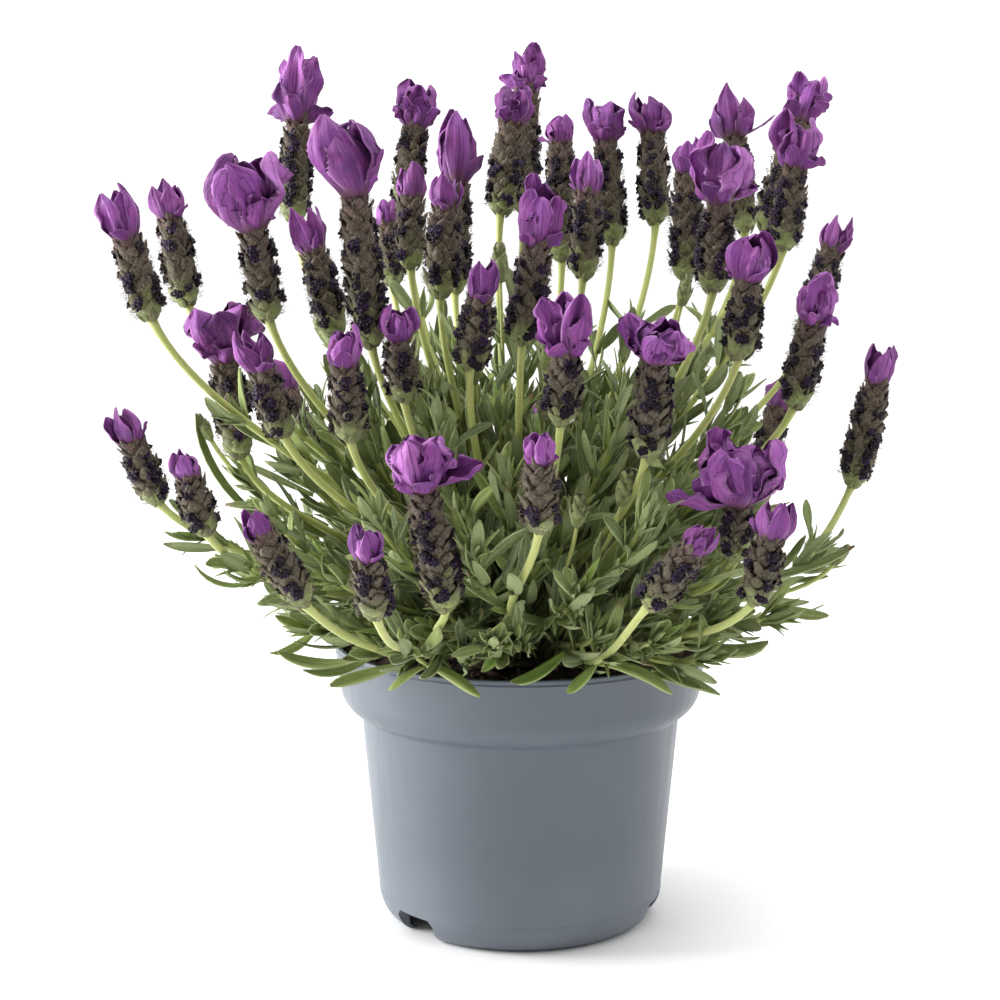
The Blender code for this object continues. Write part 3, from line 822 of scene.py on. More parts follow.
def soil_material():
    n = Nodes("potting_soil")
    coarse = n.noise(420.0, 4.0, 0.65)
    fine = n.noise(2400.0, 3.0, 0.6)
    colour = n.ramp(coarse, [(0.25, (0.014, 0.009, 0.007)), (0.5, (0.050, 0.033, 0.024)),
                             (0.75, (0.12, 0.078, 0.055))])
    colour = n.tint(colour, fine, 0.6, 0.8, 0.5, (0.22, 0.16, 0.12))
    height = n.math("ADD", coarse, n.math("MULTIPLY", fine, 0.5))
    return n.finish(colour, 0.95, n.bump(height, 0.0008))


def crumb_material():
    n = Nodes("bark_crumb")
    tone = n.attribute("tone")
    grain = n.noise(1400.0, 3.0)
    colour = n.ramp(tone, [(0.0, (0.020, 0.014, 0.012)), (0.5, (0.080, 0.050, 0.038)),
                           (0.85, (0.20, 0.120, 0.085)), (1.0, (0.42, 0.30, 0.24))])
    colour = n.tint(colour, grain, 0.4, 0.7, 0.5, (0.11, 0.075, 0.058))
    return n.finish(colour, 0.9, n.bump(grain, 0.0003))


def bark_material():
    n = Nodes("woody_bark")
    stretch = n.add("ShaderNodeMapping")
    n.put(stretch, "Vector", n.place())
    n.put(stretch, "Scale", (1.0, 1.0, 0.25))
    crack = n.noise(700.0, 4.0, 0.65, stretch.outputs["Vector"])
    colour = n.ramp(crack, [(0.3, (0.030, 0.020, 0.012)), (0.5, (0.09, 0.065, 0.038)),
                            (0.7, (0.18, 0.14, 0.085))])
    return n.finish(colour, 0.85, n.bump(crack, 0.0006))


def floor_material():
    n = Nodes("pale_floor")
    cloud = n.noise(3.0, 2.0)
    colour = n.mix(cloud, (0.945, 0.945, 0.948), (0.955, 0.955, 0.958))
    return n.finish(colour, 0.7)


# ---------------------------------------------------------------- blades


class Blades:
    """Collects leaves, petals or bracts, to be shaped together as ribbons."""

    def __init__(self):
        self.rows = []

    def add(self, base, heading, top, length, half_width, bend=0.0, yaw=0.0, twist=0.0, tone=0.5):
        self.rows.append((base, heading, top, length, half_width, bend, yaw, twist, tone))

    def into(self, strips, outline, across, lift, thickness, material, early=0.0, rng=None):
        if not self.rows:
            return
        columns = [np.array(column) for column in zip(*self.rows)]
        base, heading, top, length, half_width, bend, yaw, twist, tone = columns
        if rng is not None:
            lift = lift(rng, len(base))
        section = blade_section(across, thickness, lift)
        points, along, marks = ribbons(base, heading, top, length, half_width, np.array(outline),
                                       section, bend, yaw, twist, early)
        strips.add(points, tone, along, marks, material)


LEAF_OUTLINE = (0.46, 0.55, 0.70, 0.85, 0.96, 1.0, 1.0, 0.92, 0.70, 0.24)
LEAF_ACROSS = (-1.0, -0.84, -0.42, 0.0, 0.42, 0.84, 1.0)
BUD_LEAF_OUTLINE = (0.4, 0.75, 1.0, 0.95, 0.6, 0.12)
BUD_LEAF_ACROSS = (-1.0, -0.5, 0.0, 0.5, 1.0)
SCALE_OUTLINE = (0.6, 0.85, 1.0, 1.0, 0.86, 0.56, 0.14)
SCALE_ACROSS = (-1.0, -0.62, -0.22, 0.22, 0.62, 1.0)
PETAL_ACROSS = tuple(np.linspace(-1.0, 1.0, 13))
PETAL_OUTLINES = {
    "a": (0.40, 0.52, 0.65, 0.77, 0.87, 0.95, 1.0, 1.02, 1.0, 0.95, 0.88, 0.77, 0.60, 0.38, 0.14),
    "b": (0.40, 0.52, 0.66, 0.80, 0.91, 0.98, 1.0, 0.98, 0.92, 0.83, 0.70, 0.55, 0.38, 0.22, 0.06),
    "c": (0.38, 0.50, 0.64, 0.78, 0.90, 0.99, 1.05, 1.08, 1.08, 1.05, 1.00, 0.92, 0.78, 0.54, 0.20),
}
PETAL_SHAPES = {
    # closing, half width as a share of the tuft's width, petals, ruffle, fold
    "a": ((1.8, 2.2), 0.36, 6, 0.20, 0.16),
    "b": ((1.15, 1.8), 0.30, 5, 0.20, 0.22),
    "c": ((0.7, 2.1), 0.34, 6, 0.42, 0.34),
}


def leaf_lift(rng, count):
    cup = rng.uniform(-0.3, 0.5, count)
    wave = rng.uniform(0.0, 0.22, count)
    phase = rng.uniform(0.0, 6.3, count)

    def lift(a, along, number):
        groove = -0.26 * np.exp(-(a / 0.2) ** 2)
        rolled = -0.5 * np.abs(a) ** 6
        ripple = wave[number] * np.sin(7.0 * along + phase[number]) * a
        return cup[number] * a * a + groove + rolled + ripple

    return lift


def cupped(depth):
    def lift(a, along, number):
        return -depth * a * a * (1.0 - 0.5 * along)

    return lift


def lumpy(depth):
    """Cupped, with soft random swellings."""

    def shape(rng, count):
        phase = rng.uniform(0.0, 6.3, (2, count))

        def lift(a, along, number):
            swell = 0.13 * np.sin(4.5 * a + phase[0][number]) * np.sin(8.0 * along + phase[1][number])
            return swell - depth * a * a

        return lift

    return shape


def petal_lift(ruffle, fold):
    """A petal's folds along its length, and the ruffles that grow towards its edges."""

    def shape(rng, count):
        phase = rng.uniform(0.0, 6.3, (3, count))
        depth = rng.uniform(0.6, 1.4, (3, count))

        def lift(a, along, number):
            folds = fold * depth[0][number] * np.cos(3.4 * a + phase[0][number]) * smooth(0.0, 0.5, along)
            edge = np.abs(a) ** 1.5 * smooth(0.15, 0.8, along)
            waves = ruffle * depth[1][number] * np.sin(11.0 * along + phase[1][number] + 2.0 * a) * edge
            curl = ruffle * 0.7 * depth[2][number] * np.sin(17.0 * along * np.sign(a) + phase[2][number])
            tip = smooth(0.65, 1.0, along) * ruffle * np.sin(5.5 * a + phase[2][number])
            crease = 0.06 * np.sin(13.0 * a + 9.0 * along + phase[0][number]) * smooth(0.1, 0.6, along)
            keel = -0.12 * np.exp(-(a / 0.16) ** 2)
            return folds + waves + curl * edge * 0.5 + tip + crease + keel - (0.62 - 0.3 * along) * a * a

        return lift

    return shape


def round_axis(first, second, angle):
    """The direction at an angle round an axis, from its two cross directions."""
    return first * math.cos(angle) + second * math.sin(angle)


def around(axis):
    """Two directions square to an axis."""
    helper = np.array([0.0, 0.0, 1.0]) if abs(axis[2]) < 0.9 else np.array([0.0, 1.0, 0.0])
    first = unit(np.cross(axis, helper))
    return first, np.cross(axis, first)


# ---------------------------------------------------------------- flower heads

STALK, SPIKE, GREEN, FLORET, WOOL, PETAL = range(6)


def spike_radius_at(share, radius):
    knots = (0.0, 0.08, 0.2, 0.45, 0.7, 0.88, 1.0)
    sizes = (0.70, 0.96, 1.05, 1.05, 0.97, 0.84, 0.68)
    return radius * np.interp(share, knots, sizes)


def spike_scales(flower, rng):
    """The whorls of woolly bracts, which overlap upwards, around a solid core."""
    scales = Blades()
    around_count = 6
    whorls = max(5, int(round(flower.spike / (2.9 * MM))))
    for whorl in range(whorls):
        share = (whorl + 0.2) / whorls
        radius = spike_radius_at(share, flower.spike_radius)
        for place in range(around_count):
            angle = 2.0 * math.pi * (place + 0.5 * (whorl % 2)) / around_count + rng.normal(0.0, 0.1)
            radial = round_axis(flower.first, flower.second, angle)
            climb = rng.normal(0.0, 0.5 * MM) - 1.8 * MM
            base = flower.foot + flower.axis * (share * flower.spike + climb) + radial * (0.48 * radius)
            heading = radial * rng.uniform(0.9, 1.15) + flower.axis * 0.8
            length = rng.uniform(0.9, 1.12) * (0.62 * radius + 3.4 * MM)
            tone = np.clip(share + rng.normal(0.0, 0.07), 0.0, 1.0)
            scales.add(base, heading, radial * 0.8 - flower.axis, length, rng.uniform(0.38, 0.46) * radius,
                       -rng.uniform(0.6, 1.15), rng.normal(0.0, 0.15), rng.normal(0.0, 0.25), tone)
    return scales


def spike_teeth(flower, rng):
    """Pointed reddish calyx teeth around the top of the spike."""
    teeth = Blades()
    for ring, count in ((0.86, 8), (0.97, 7)):
        radius = spike_radius_at(ring, flower.spike_radius)
        for place in range(count):
            angle = 2.0 * math.pi * (place + rng.uniform(-0.2, 0.2)) / count
            radial = round_axis(flower.first, flower.second, angle)
            base = flower.foot + flower.axis * (ring * flower.spike - 1.0 * MM) + radial * (0.5 * radius)
            teeth.add(base, radial * 0.7 + flower.axis, radial - 0.7 * flower.axis,
                      rng.uniform(4.5, 6.5) * MM, rng.uniform(1.2, 1.7) * MM,
                      -rng.uniform(0.1, 0.6), 0.0, 0.0, rng.uniform(0.8, 1.0))
    return teeth


def green_bracts(flower, rng):
    """Broad cupped green bracts that hold the foot of the spike."""
    bracts = Blades()
    for ring, count in ((0.0, 4), (0.6, 4)):
        for place in range(count):
            angle = 2.0 * math.pi * (place + 0.5 * ring + rng.uniform(-0.1, 0.1)) / count + 0.6
            radial = round_axis(flower.first, flower.second, angle)
            base = flower.foot + flower.axis * ((ring * 2.2 - 0.6) * MM) + radial * (0.9 * MM)
            bracts.add(base, radial - flower.axis * 0.05, -radial * 0.05 - flower.axis,
                       rng.uniform(1.3, 1.6) * flower.spike_radius,
                       rng.uniform(0.6, 0.72) * flower.spike_radius,
                       -rng.uniform(1.5, 1.8), 0.0, rng.normal(0.0, 0.1), rng.uniform(0.0, 1.0))
    return bracts


def florets(flower, rng):
    """Tiny dark five-lobed flowers in four upright rows, in clusters between the bracts."""
    lobes = Blades()
    cups = []
    nodes = max(3, int(round(flower.spike / (5.6 * MM))))
    turn_start = rng.uniform(0.0, 1.5)
    for node in range(nodes * 4):
        middle = 0.1 + 0.76 * (node // 4 + rng.uniform(0.2, 0.8)) / nodes
        row_angle = 0.5 * math.pi * (node % 4) + turn_start + rng.normal(0.0, 0.12)
        if rng.random() > 0.72:
            continue
        for _ in range(rng.integers(2, 5)):
            share = np.clip(middle + rng.normal(0.0, 1.0 * MM) / flower.spike, 0.06, 0.93)
            angle = row_angle + rng.normal(0.0, 0.17)
            radial = round_axis(flower.first, flower.second, angle)
            out = unit(radial + flower.axis * rng.uniform(-0.1, 0.6) + rng.normal(0.0, 0.2, 3))
            reach = spike_radius_at(share, flower.spike_radius) + rng.uniform(-0.7, 0.2) * MM
            centre = flower.foot + flower.axis * (share * flower.spike) + radial * reach
            tone = rng.uniform(0.0, 1.0)
            size = rng.uniform(0.9, 1.3)
            first, second = around(out)
            cups.append((centre, out, size, tone))
            for lobe in range(5):
                turn_angle = 2.0 * math.pi * lobe / 5 + rng.normal(0.0, 0.1)
                away = round_axis(first, second, turn_angle)
                lobes.add(centre + away * (0.3 * MM), away + out * rng.uniform(0.25, 0.9), out - 0.6 * away,
                          1.5 * MM * size, 0.78 * MM * size, -rng.uniform(0.1, 0.8), 0.0, 0.0, tone)
    return lobes, cups


def hairs(strips, bases, headings, lengths, radius, tones, material):
    """Short woolly hairs: slim three-sided spines."""
    first = unit(np.cross(headings, np.array([0.31, 0.87, 0.38])))
    second = np.cross(unit(headings), first)
    rows = []
    for share, size in ((0.0, 1.0), (0.55, 0.8), (1.0, 0.15)):
        centre = (bases + headings * (lengths * share)[:, None]
                  + first * (0.18 * lengths * share ** 2)[:, None])
        ring = []
        for corner in range(3):
            angle = 2.0 * math.pi * corner / 3
            ring.append(centre + round_axis(first, second, angle) * (radius * size))
        rows.append(np.stack(ring, axis=1))
    points = np.stack(rows, axis=1)
    strips.add(points, tones, np.array([0.0, 0.55, 1.0])[None, :, None], 0.0, material)


def spike_wool(strips, flower, rng):
    count = int(flower.spike / MM * 17)
    share = rng.uniform(0.02, 1.0, count)
    angle = rng.uniform(0.0, 2.0 * np.pi, count)
    radial = flower.first * np.cos(angle)[:, None] + flower.second * np.sin(angle)[:, None]
    radius = spike_radius_at(share, flower.spike_radius) * rng.uniform(0.84, 1.0, count)
    bases = flower.foot + flower.axis * (share * flower.spike)[:, None] + radial * radius[:, None]
    headings = unit(radial + flower.axis * rng.uniform(-0.3, 1.2, (count, 1))
                    + rng.normal(0.0, 0.35, (count, 3)))
    hairs(strips, bases, headings, rng.uniform(0.8, 2.1, count) * MM, 0.1 * MM, rng.random(count), WOOL)


def tuft_petals(flower, rng):
    """The long purple bracts on top of the spike: a closed bud or a ruffled cup."""
    petals = Blades()
    length = flower.tuft + 2.5 * MM
    width = flower.tuft_width
    top = flower.foot + flower.axis * (flower.spike - 2.5 * MM)
    root = min(0.58 * flower.spike_radius, 0.34 * width)
    (least, most), share, count, _, _ = PETAL_SHAPES[flower.shape]
    start_angle = rng.uniform(0.0, 6.3)
    for place in range(count):
        angle = start_angle + 2.0 * math.pi * (place + rng.uniform(-0.2, 0.2)) / count
        radial = round_axis(flower.first, flower.second, angle)
        closing = rng.uniform(least, most)
        tilt = 2.0 * max(1.0, closing) * (0.5 * width - root) / length * rng.uniform(0.8, 1.08)
        tilt = min(1.15, max(0.15, tilt))
        heading = flower.axis * math.cos(tilt) + radial * math.sin(tilt)
        outward = radial * math.cos(tilt) - flower.axis * math.sin(tilt)
        size = rng.uniform(0.74, 1.0) if place else 1.06
        petals.add(top + radial * root, heading, outward, length * size / math.cos(0.42 * tilt),
                   width * share * rng.uniform(0.8, 1.15), -closing * tilt, rng.normal(0.0, 0.16),
                   rng.normal(0.0, 0.4), rng.uniform(0.1, 1.0))
    for place in range(3):
        angle = rng.uniform(0.0, 6.3)
        radial = round_axis(flower.first, flower.second, angle)
        petals.add(top + radial * (0.5 * root), flower.axis + radial * 0.2, radial - flower.axis * 0.2,
                   length * rng.uniform(0.6, 0.9), width * 0.3, rng.uniform(-0.5, 0.1),
                   rng.normal(0.0, 0.2), rng.normal(0.0, 0.5), rng.uniform(0.0, 0.5))
    frill = 5 if flower.shape == "c" else 2
    for place in range(frill):
        angle = start_angle + 2.0 * math.pi * (place + rng.uniform(0.3, 0.7)) / frill
        radial = round_axis(flower.first, flower.second, angle)
        tilt = rng.uniform(0.45, 0.85)
        heading = flower.axis * math.cos(tilt) + radial * math.sin(tilt)
        outward = radial * math.cos(tilt) - flower.axis * math.sin(tilt)
        petals.add(top + radial * root, heading, outward, length * rng.uniform(0.36, 0.6),
                   width * rng.uniform(0.17, 0.27), rng.uniform(-0.9, 0.7), rng.normal(0.0, 0.3),
                   rng.normal(0.0, 0.4), rng.uniform(0.1, 0.7))
    for number, heading, size, half_width in STRAY_PETALS:
        if number == flower.number:
            heading = unit(np.array(heading))
            over = unit(flower.axis - heading * np.dot(flower.axis, heading))
            petals.add(top + heading * root + flower.axis * MM, heading, -over, size * MM, half_width * MM,
                       -0.5, rng.normal(0.0, 0.2), rng.normal(0.0, 0.4), rng.uniform(0.3, 0.7))
    return petals


def make_flower(flower, materials):
    rng = flower.rng
    flower.first, flower.second = around(flower.axis)
    stem = Strips()
    count = len(flower.path)
    swell = np.linspace(1.05, 0.92, count)
    swell[-2:] = (1.05, 1.35)
    points, across = tube(flower.path, STALK_RADIUS * swell, 8, 0.13)
    stem.add(points, rng.random(), np.linspace(0.0, 1.0, count)[None, :, None], across, STALK)
    core = flower.foot + flower.axis * (np.linspace(0.0, 1.0, 12)[:, None] * flower.spike)
    core_radius = spike_radius_at(np.linspace(0.0, 1.0, 12), flower.spike_radius) * 0.66
    points, across = tube(core, core_radius, 12)
    stem.add(points, 0.5, np.linspace(0.0, 1.0, 12)[None, :, None], across, SPIKE)
    spike_scales(flower, rng).into(stem, SCALE_OUTLINE, SCALE_ACROSS, lumpy(0.5), 0.4 * MM, SPIKE, rng=rng)
    spike_teeth(flower, rng).into(stem, (0.7, 1.0, 0.9, 0.6, 0.1), BUD_LEAF_ACROSS, cupped(0.5),
                                  0.3 * MM, SPIKE)
    green_bracts(flower, rng).into(stem, (0.35, 0.7, 0.95, 1.0, 0.86, 0.5, 0.08), LEAF_ACROSS, cupped(0.75),
                                   0.35 * MM, GREEN, early=0.2)
    lobes, cups = florets(flower, rng)
    lobes.into(stem, (0.5, 1.0, 0.95, 0.3), (-1.0, 0.0, 1.0), cupped(0.4), 0.22 * MM, FLORET)
    for centre, out, size, tone in cups:
        path = centre + out * (np.array([-2.2, -0.4, 0.3]) * MM)[:, None]
        points, across = tube(path, np.array([1.3, 1.15, 0.85]) * size * MM, 6)
        stem.add(points, tone * 0.5, np.array([0.0, 0.5, 0.7])[None, :, None], across, FLORET)
    spike_wool(stem, flower, rng)
    ruffle, fold = PETAL_SHAPES[flower.shape][3:]
    tuft_petals(flower, rng).into(stem, PETAL_OUTLINES[flower.shape], PETAL_ACROSS, petal_lift(ruffle, fold),
                                  0.32 * MM, PETAL, rng=rng)
    piece = stem.build(f"lavender_flower_{flower.number:02d}", materials)
    finish_piece(piece, "flower", f"flowering_stem_{flower.number:02d}")


def finish_piece(piece, slot, *nodes):
    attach(piece, "root")
    if nodes:
        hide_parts(*nodes)


# ---------------------------------------------------------------- leaves


class Foliage:
    """Leaves and leafy stems, gathered into one piece."""

    def __init__(self, rng):
        self.rng = rng
        self.strips = Strips()
        self.leaves = Blades()
        self.small = Blades()

    def pair(self, place, along, turn_angle, length, width, spread=0.8, tone=None):
        """Two opposite leaves at a node of a stem."""
        rng = self.rng
        first, second = around(along)
        for half in (0.0, math.pi):
            angle = turn_angle + half + rng.normal(0.0, 0.15)
            away = round_axis(first, second, angle)
            lean = spread * rng.uniform(0.7, 1.25)
            bend = rng.normal(-0.2, 0.4)
            if away[2] < -0.15:
                lean *= 0.6
                bend = rng.uniform(0.1, 0.7)
            heading = along + away * lean
            size = rng.uniform(0.82, 1.12)
            self.leaves.add(place + away * (0.9 * MM), heading, along * lean - away, length * size,
                            0.5 * width * rng.uniform(0.85, 1.15), bend, rng.normal(0.0, 0.25),
                            rng.normal(0.0, 0.4), rng.uniform(0.0, 0.85) if tone is None else tone)

    def cluster(self, place, along, turn_angle, length, tone=None):
        """Small young leaves in the two leaf axils of a node."""
        rng = self.rng
        first, second = around(along)
        for half in (0.0, math.pi):
            for _ in range(3):
                angle = turn_angle + half + rng.normal(0.0, 0.55)
                away = round_axis(first, second, angle)
                lean = rng.uniform(0.2, 0.7)
                self.small.add(place + away * (0.8 * MM), along + away * lean, along * lean - away,
                               length * rng.uniform(0.6, 1.1), rng.uniform(0.85, 1.35) * MM,
                               rng.normal(-0.1, 0.3), rng.normal(0.0, 0.2), rng.normal(0.0, 0.3),
                               rng.uniform(0.35, 1.0) if tone is None else tone)

    def stem(self, path, radii):
        points, across = tube(path, np.array(radii), 6, 0.12)
        along = np.linspace(0.1, 0.55, len(path))[None, :, None]
        self.strips.add(points, self.rng.random(), along, across, 1)

    def build(self, name, materials, *nodes):
        self.leaves.into(self.strips, LEAF_OUTLINE, LEAF_ACROSS, leaf_lift, 0.4 * MM, 0, rng=self.rng)
        self.small.into(self.strips, BUD_LEAF_OUTLINE, BUD_LEAF_ACROSS, leaf_lift, 0.35 * MM, 0, rng=self.rng)
        finish_piece(self.strips.build(name, materials), "leaf", *nodes)


def along_path(path, share):
    """Point and direction at a share of a path's points."""
    place = share * (len(path) - 1)
    index = min(int(place), len(path) - 2)
    step = path[index + 1] - path[index]
    return path[index] + step * (place - index), unit(step)


def leafy_shoot(foliage, start, leave, tip, arrive, leaf_length, first_share=0.3, bright=None):
    """A stem with opposite leaf pairs, axillary clusters and a rosette at its tip."""
    rng = foliage.rng
    span = np.linalg.norm(tip - start)
    path = bezier(start, start + leave * (0.3 * span), tip - arrive * (0.3 * span), tip,
                  np.linspace(0.0, 1.0, 14))
    foliage.stem(path, np.linspace(1.25, 0.7, 14) * MM)
    pairs = max(3, int(span * (1.0 - first_share) / (9.5 * MM)))
    angle = rng.uniform(0.0, 3.14)
    for number in range(pairs):
        share = first_share + (0.97 - first_share) * number / (pairs - 1)
        place, along = along_path(path, share)
        size = 1.0 - 0.38 * max(0.0, share - 0.55) / 0.45
        tone = None if bright is None else np.clip(bright + rng.normal(0.0, 0.12), 0.0, 1.0)
        foliage.pair(place, along, angle, leaf_length * size, 4.4 * MM, 0.82 - 0.4 * share, tone)
        if number % 2 == 0 or share > 0.7:
            foliage.cluster(place, along, angle, 0.42 * leaf_length, tone)
        angle += 0.5 * math.pi
    first, second = around(unit(path[-1] - path[-2]))
    for place in range(6):
        turn_angle = angle + place * 2.4
        away = round_axis(first, second, turn_angle)
        along = unit(path[-1] - path[-2])
        lean = 0.15 + 0.06 * place
        foliage.small.add(tip, along + away * lean, along * lean - away, leaf_length * (0.38 + 0.04 * place),
                          1.3 * MM, rng.normal(-0.1, 0.2), 0.0, rng.normal(0.0, 0.3), rng.uniform(0.5, 1.0))


def foliage_groups(materials):
    """The dense dome of leafy shoots, in groups by direction."""
    groups = FOLIAGE_GROUPS
    golden = math.pi * (3.0 - math.sqrt(5.0))
    total = groups * SHOOTS_PER_GROUP
    gathered = [Foliage(np.random.default_rng(40 + number)) for number in range(groups)]
    for number in range(total):
        turn_angle = number * golden
        group = int((turn_angle / (2.0 * math.pi) % 1.0) * groups)
        foliage = gathered[group]
        rng = foliage.rng
        tilt = math.radians(6.0 + 80.0 * ((number + 0.5) / total) ** 0.72) + rng.normal(0.0, 0.04)
        away = np.array([math.sin(turn_angle), -math.cos(turn_angle), 0.0])
        out = away * math.sin(tilt) + np.array([0.0, 0.0, math.cos(tilt)])
        reach = FOLIAGE_REACH * rng.uniform(0.68, 1.02) * (1.0 - 0.2 * smooth(0.9, 1.45, tilt))
        root = away * (CROWN_RADIUS * min(0.92, 0.15 + 0.8 * tilt / 1.5))
        start, leave = crown_point(root[0], root[1])
        tip = np.array([0.0, 0.0, SOIL_TOP + 4.0 * MM]) + out * reach
        tip[2] = max(tip[2], POT_HEIGHT + 10.0 * MM)
        arrive = unit(out + np.array([0.0, 0.0, 0.55]) + rng.normal(0.0, 0.12, 3))
        leafy_shoot(foliage, start, unit(leave + 0.5 * out), tip, arrive, rng.uniform(26.0, 36.0) * MM)
    for number, foliage in enumerate(gathered, start=1):
        foliage.build(f"lavender_foliage_{number:02d}", materials)


def low_shoots(materials):
    for number, (direction, reach, height, leaf_length) in enumerate(SHOOTS, start=1):
        foliage = Foliage(np.random.default_rng(80 + number))
        turn_angle = math.radians(direction)
        away = np.array([math.sin(turn_angle), -math.cos(turn_angle), 0.0])
        root = away * (CROWN_RADIUS * SHOOT_ROOT_REACH)
        start, leave = crown_point(root[0], root[1])
        tip = away * (RIM_RADIUS + reach * MM) + np.array([0.0, 0.0, POT_HEIGHT + height * MM])
        arrive = unit(away + np.array([0.0, 0.0, 0.5]))
        leafy_shoot(foliage, start, leave, tip, arrive, leaf_length * 1.15 * MM, 0.35, 0.55)
        foliage.build(f"low_leafy_shoot_{number:02d}", materials, f"leafy_shoot_{number:02d}")


def stalk_leaves(flowers, materials):
    """Leaf pairs on the lower part of the flowering stems, four stems to a piece."""
    step = 4
    for first in range(0, len(flowers), step):
        foliage = Foliage(np.random.default_rng(120 + first))
        rng = foliage.rng
        for flower in flowers[first:first + step]:
            length = flower.reach
            top = min(0.72, (length - 55.0 * MM) / length)
            pairs = max(2, int(length * top / (17.0 * MM)))
            angle = rng.uniform(0.0, 3.14)
            for number in range(pairs):
                share = 0.2 + (top - 0.2) * number / (pairs - 1)
                place, along = along_path(flower.path, share)
                size = 1.0 - 0.35 * number / (pairs - 1)
                foliage.pair(place, along, angle, rng.uniform(27.0, 34.0) * MM * size, 5.0 * MM, 0.75)
                foliage.cluster(place, along, angle, 13.0 * MM)
                angle += 0.5 * math.pi
        foliage.build(f"stalk_leaves_{first // step + 1:02d}", materials)


def rim_leaves(materials):
    """The single leaves of RIM_LEAVES, each an arch from its start to its tip."""
    foliage = Foliage(np.random.default_rng(300))
    rng = foliage.rng
    rim = np.array([0.0, 0.0, POT_HEIGHT])
    for start, tip, rise, half_width, tone in RIM_LEAVES:
        start = np.array(start) * MM + rim
        chord = np.array(tip) * MM + rim - start
        span = np.linalg.norm(chord)
        side = unit(np.cross(chord, [0.0, 0.0, 1.0]))
        bend = 4.0 * rise
        heading = turn(chord / span, side, np.array(0.5 * bend))
        length = span * 0.5 * abs(bend) / math.sin(0.5 * abs(bend))
        over = np.cross(side, heading) + np.array([0.0, -0.9, 0.0])
        foliage.leaves.add(start, heading, over, length, 0.92 * half_width * MM,
                           -bend, rng.normal(0.0, 0.3), rng.normal(0.0, 0.6), tone)
    start, leave = crown_point(-0.6 * CROWN_RADIUS, -0.6 * CROWN_RADIUS)
    node = np.array([-35.0, -72.0, 5.5]) * MM + rim
    path = bezier(start, start + leave * 20.0 * MM, node + np.array([-16.0, 10.0, 6.0]) * MM, node,
                  np.linspace(0.0, 1.0, 14))
    foliage.stem(path, np.linspace(1.3, 0.9, 14) * MM)
    foliage.build("rim_leaves", materials)


def bud_stems(materials):
    """Young green flower buds on slim stalks, with overlapping keeled scales."""
    rng = np.random.default_rng(310)
    strips = Strips()
    scales = Blades()
    for place, length, width in BUDS:
        foot = np.array(place) * MM + np.array([0.0, 0.0, POT_HEIGHT])
        start, leave = crown_point(foot[0] * 0.3, foot[1] * 0.3)
        axis = unit(foot - start + np.array([0.0, 0.0, 0.08]))
        reach = np.linalg.norm(foot - start)
        path = bezier(start, start + leave * 0.3 * reach, foot - axis * 0.3 * reach, foot,
                      np.linspace(0.0, 1.0, 20))
        points, across = tube(path, np.linspace(1.1, 0.8, 20) * MM, 6, 0.12)
        strips.add(points, 0.6, np.linspace(0.2, 0.9, 20)[None, :, None], across, 0)
        shares = np.linspace(0.0, 1.0, 9)
        body = foot + axis * (shares[:, None] * 0.9 * length * MM)
        fullness = np.interp(shares, (0.0, 0.2, 0.5, 0.8, 1.0), (0.5, 0.95, 1.0, 0.7, 0.2))
        points, across = tube(body, fullness * 0.36 * width * MM, 10)
        strips.add(points, 0.4, 0.7, across, 1)
        first, second = around(axis)
        whorls = 6
        for whorl in range(whorls):
            share = whorl / whorls
            radius = width * MM * np.interp(share, (0.0, 0.3, 0.8), (0.22, 0.34, 0.12))
            for side in range(4):
                angle = 0.5 * math.pi * (side + 0.5 * (whorl % 2)) + rng.normal(0.0, 0.08)
                radial = round_axis(first, second, angle)
                base = foot + axis * (share * 0.75 * length * MM) + radial * radius
                scales.add(base, axis + radial * 0.55, radial - axis * 0.5, 0.42 * length * MM,
                           0.30 * width * MM, -rng.uniform(0.5, 0.9), 0.0, 0.0, rng.uniform(0.2, 1.0))
    scales.into(strips, (0.55, 0.85, 1.0, 0.9, 0.62, 0.12), BUD_LEAF_ACROSS, cupped(0.6), 0.3 * MM, 1)
    finish_piece(strips.build("green_flower_buds", materials), "flower")


# ---------------------------------------------------------------- pot, soil and crown


def arc(centre, radius, first, last, steps):
    angles = np.radians(np.linspace(first, last, steps + 1))
    return [(centre[0] + radius * math.cos(a), centre[1] + radius * math.sin(a)) for a in angles]


def collar_bottom():
    return POT_HEIGHT - COLLAR_HEIGHT


def body_radius(height):
    share = (height - CORNER_HEIGHT) / (collar_bottom() - CORNER_HEIGHT)
    return BODY_BOTTOM_RADIUS + BODY_TAPER * share


def shoulder_arc(inset):
    side_radius = RIM_RADIUS - COLLAR_TAPER
    run = side_radius - BODY_TOP_RADIUS - COLLAR_STEP
    first = -math.degrees(math.acos(1.0 - min(1.0, run / SHOULDER_RADIUS)))
    centre = (side_radius - SHOULDER_RADIUS,
              collar_bottom() - SHOULDER_RADIUS * math.sin(math.radians(first)))
    return arc(centre, SHOULDER_RADIUS - inset, first, 0.0, 14)


def foot_corner(inset):
    points = []
    for angle in np.linspace(0.0, 0.5 * math.pi, 11):
        radius = FOOT_RADIUS + CORNER_INSET * math.sin(angle) ** CORNER_POWER - inset
        points.append((radius, CORNER_HEIGHT * (1.0 - max(0.0, math.cos(angle)) ** CORNER_POWER)))
    return points


def seam_line():
    """The fine moulding line just above the foot: a ridge where the body's side begins."""
    height = CORNER_HEIGHT + 0.6 * MM
    radius = body_radius(height)
    return [(radius, height), (radius + 0.16 * MM, height + 0.15 * MM),
            (radius + 0.16 * MM, height + 0.4 * MM), (radius + 0.01 * MM, height + 0.55 * MM)]


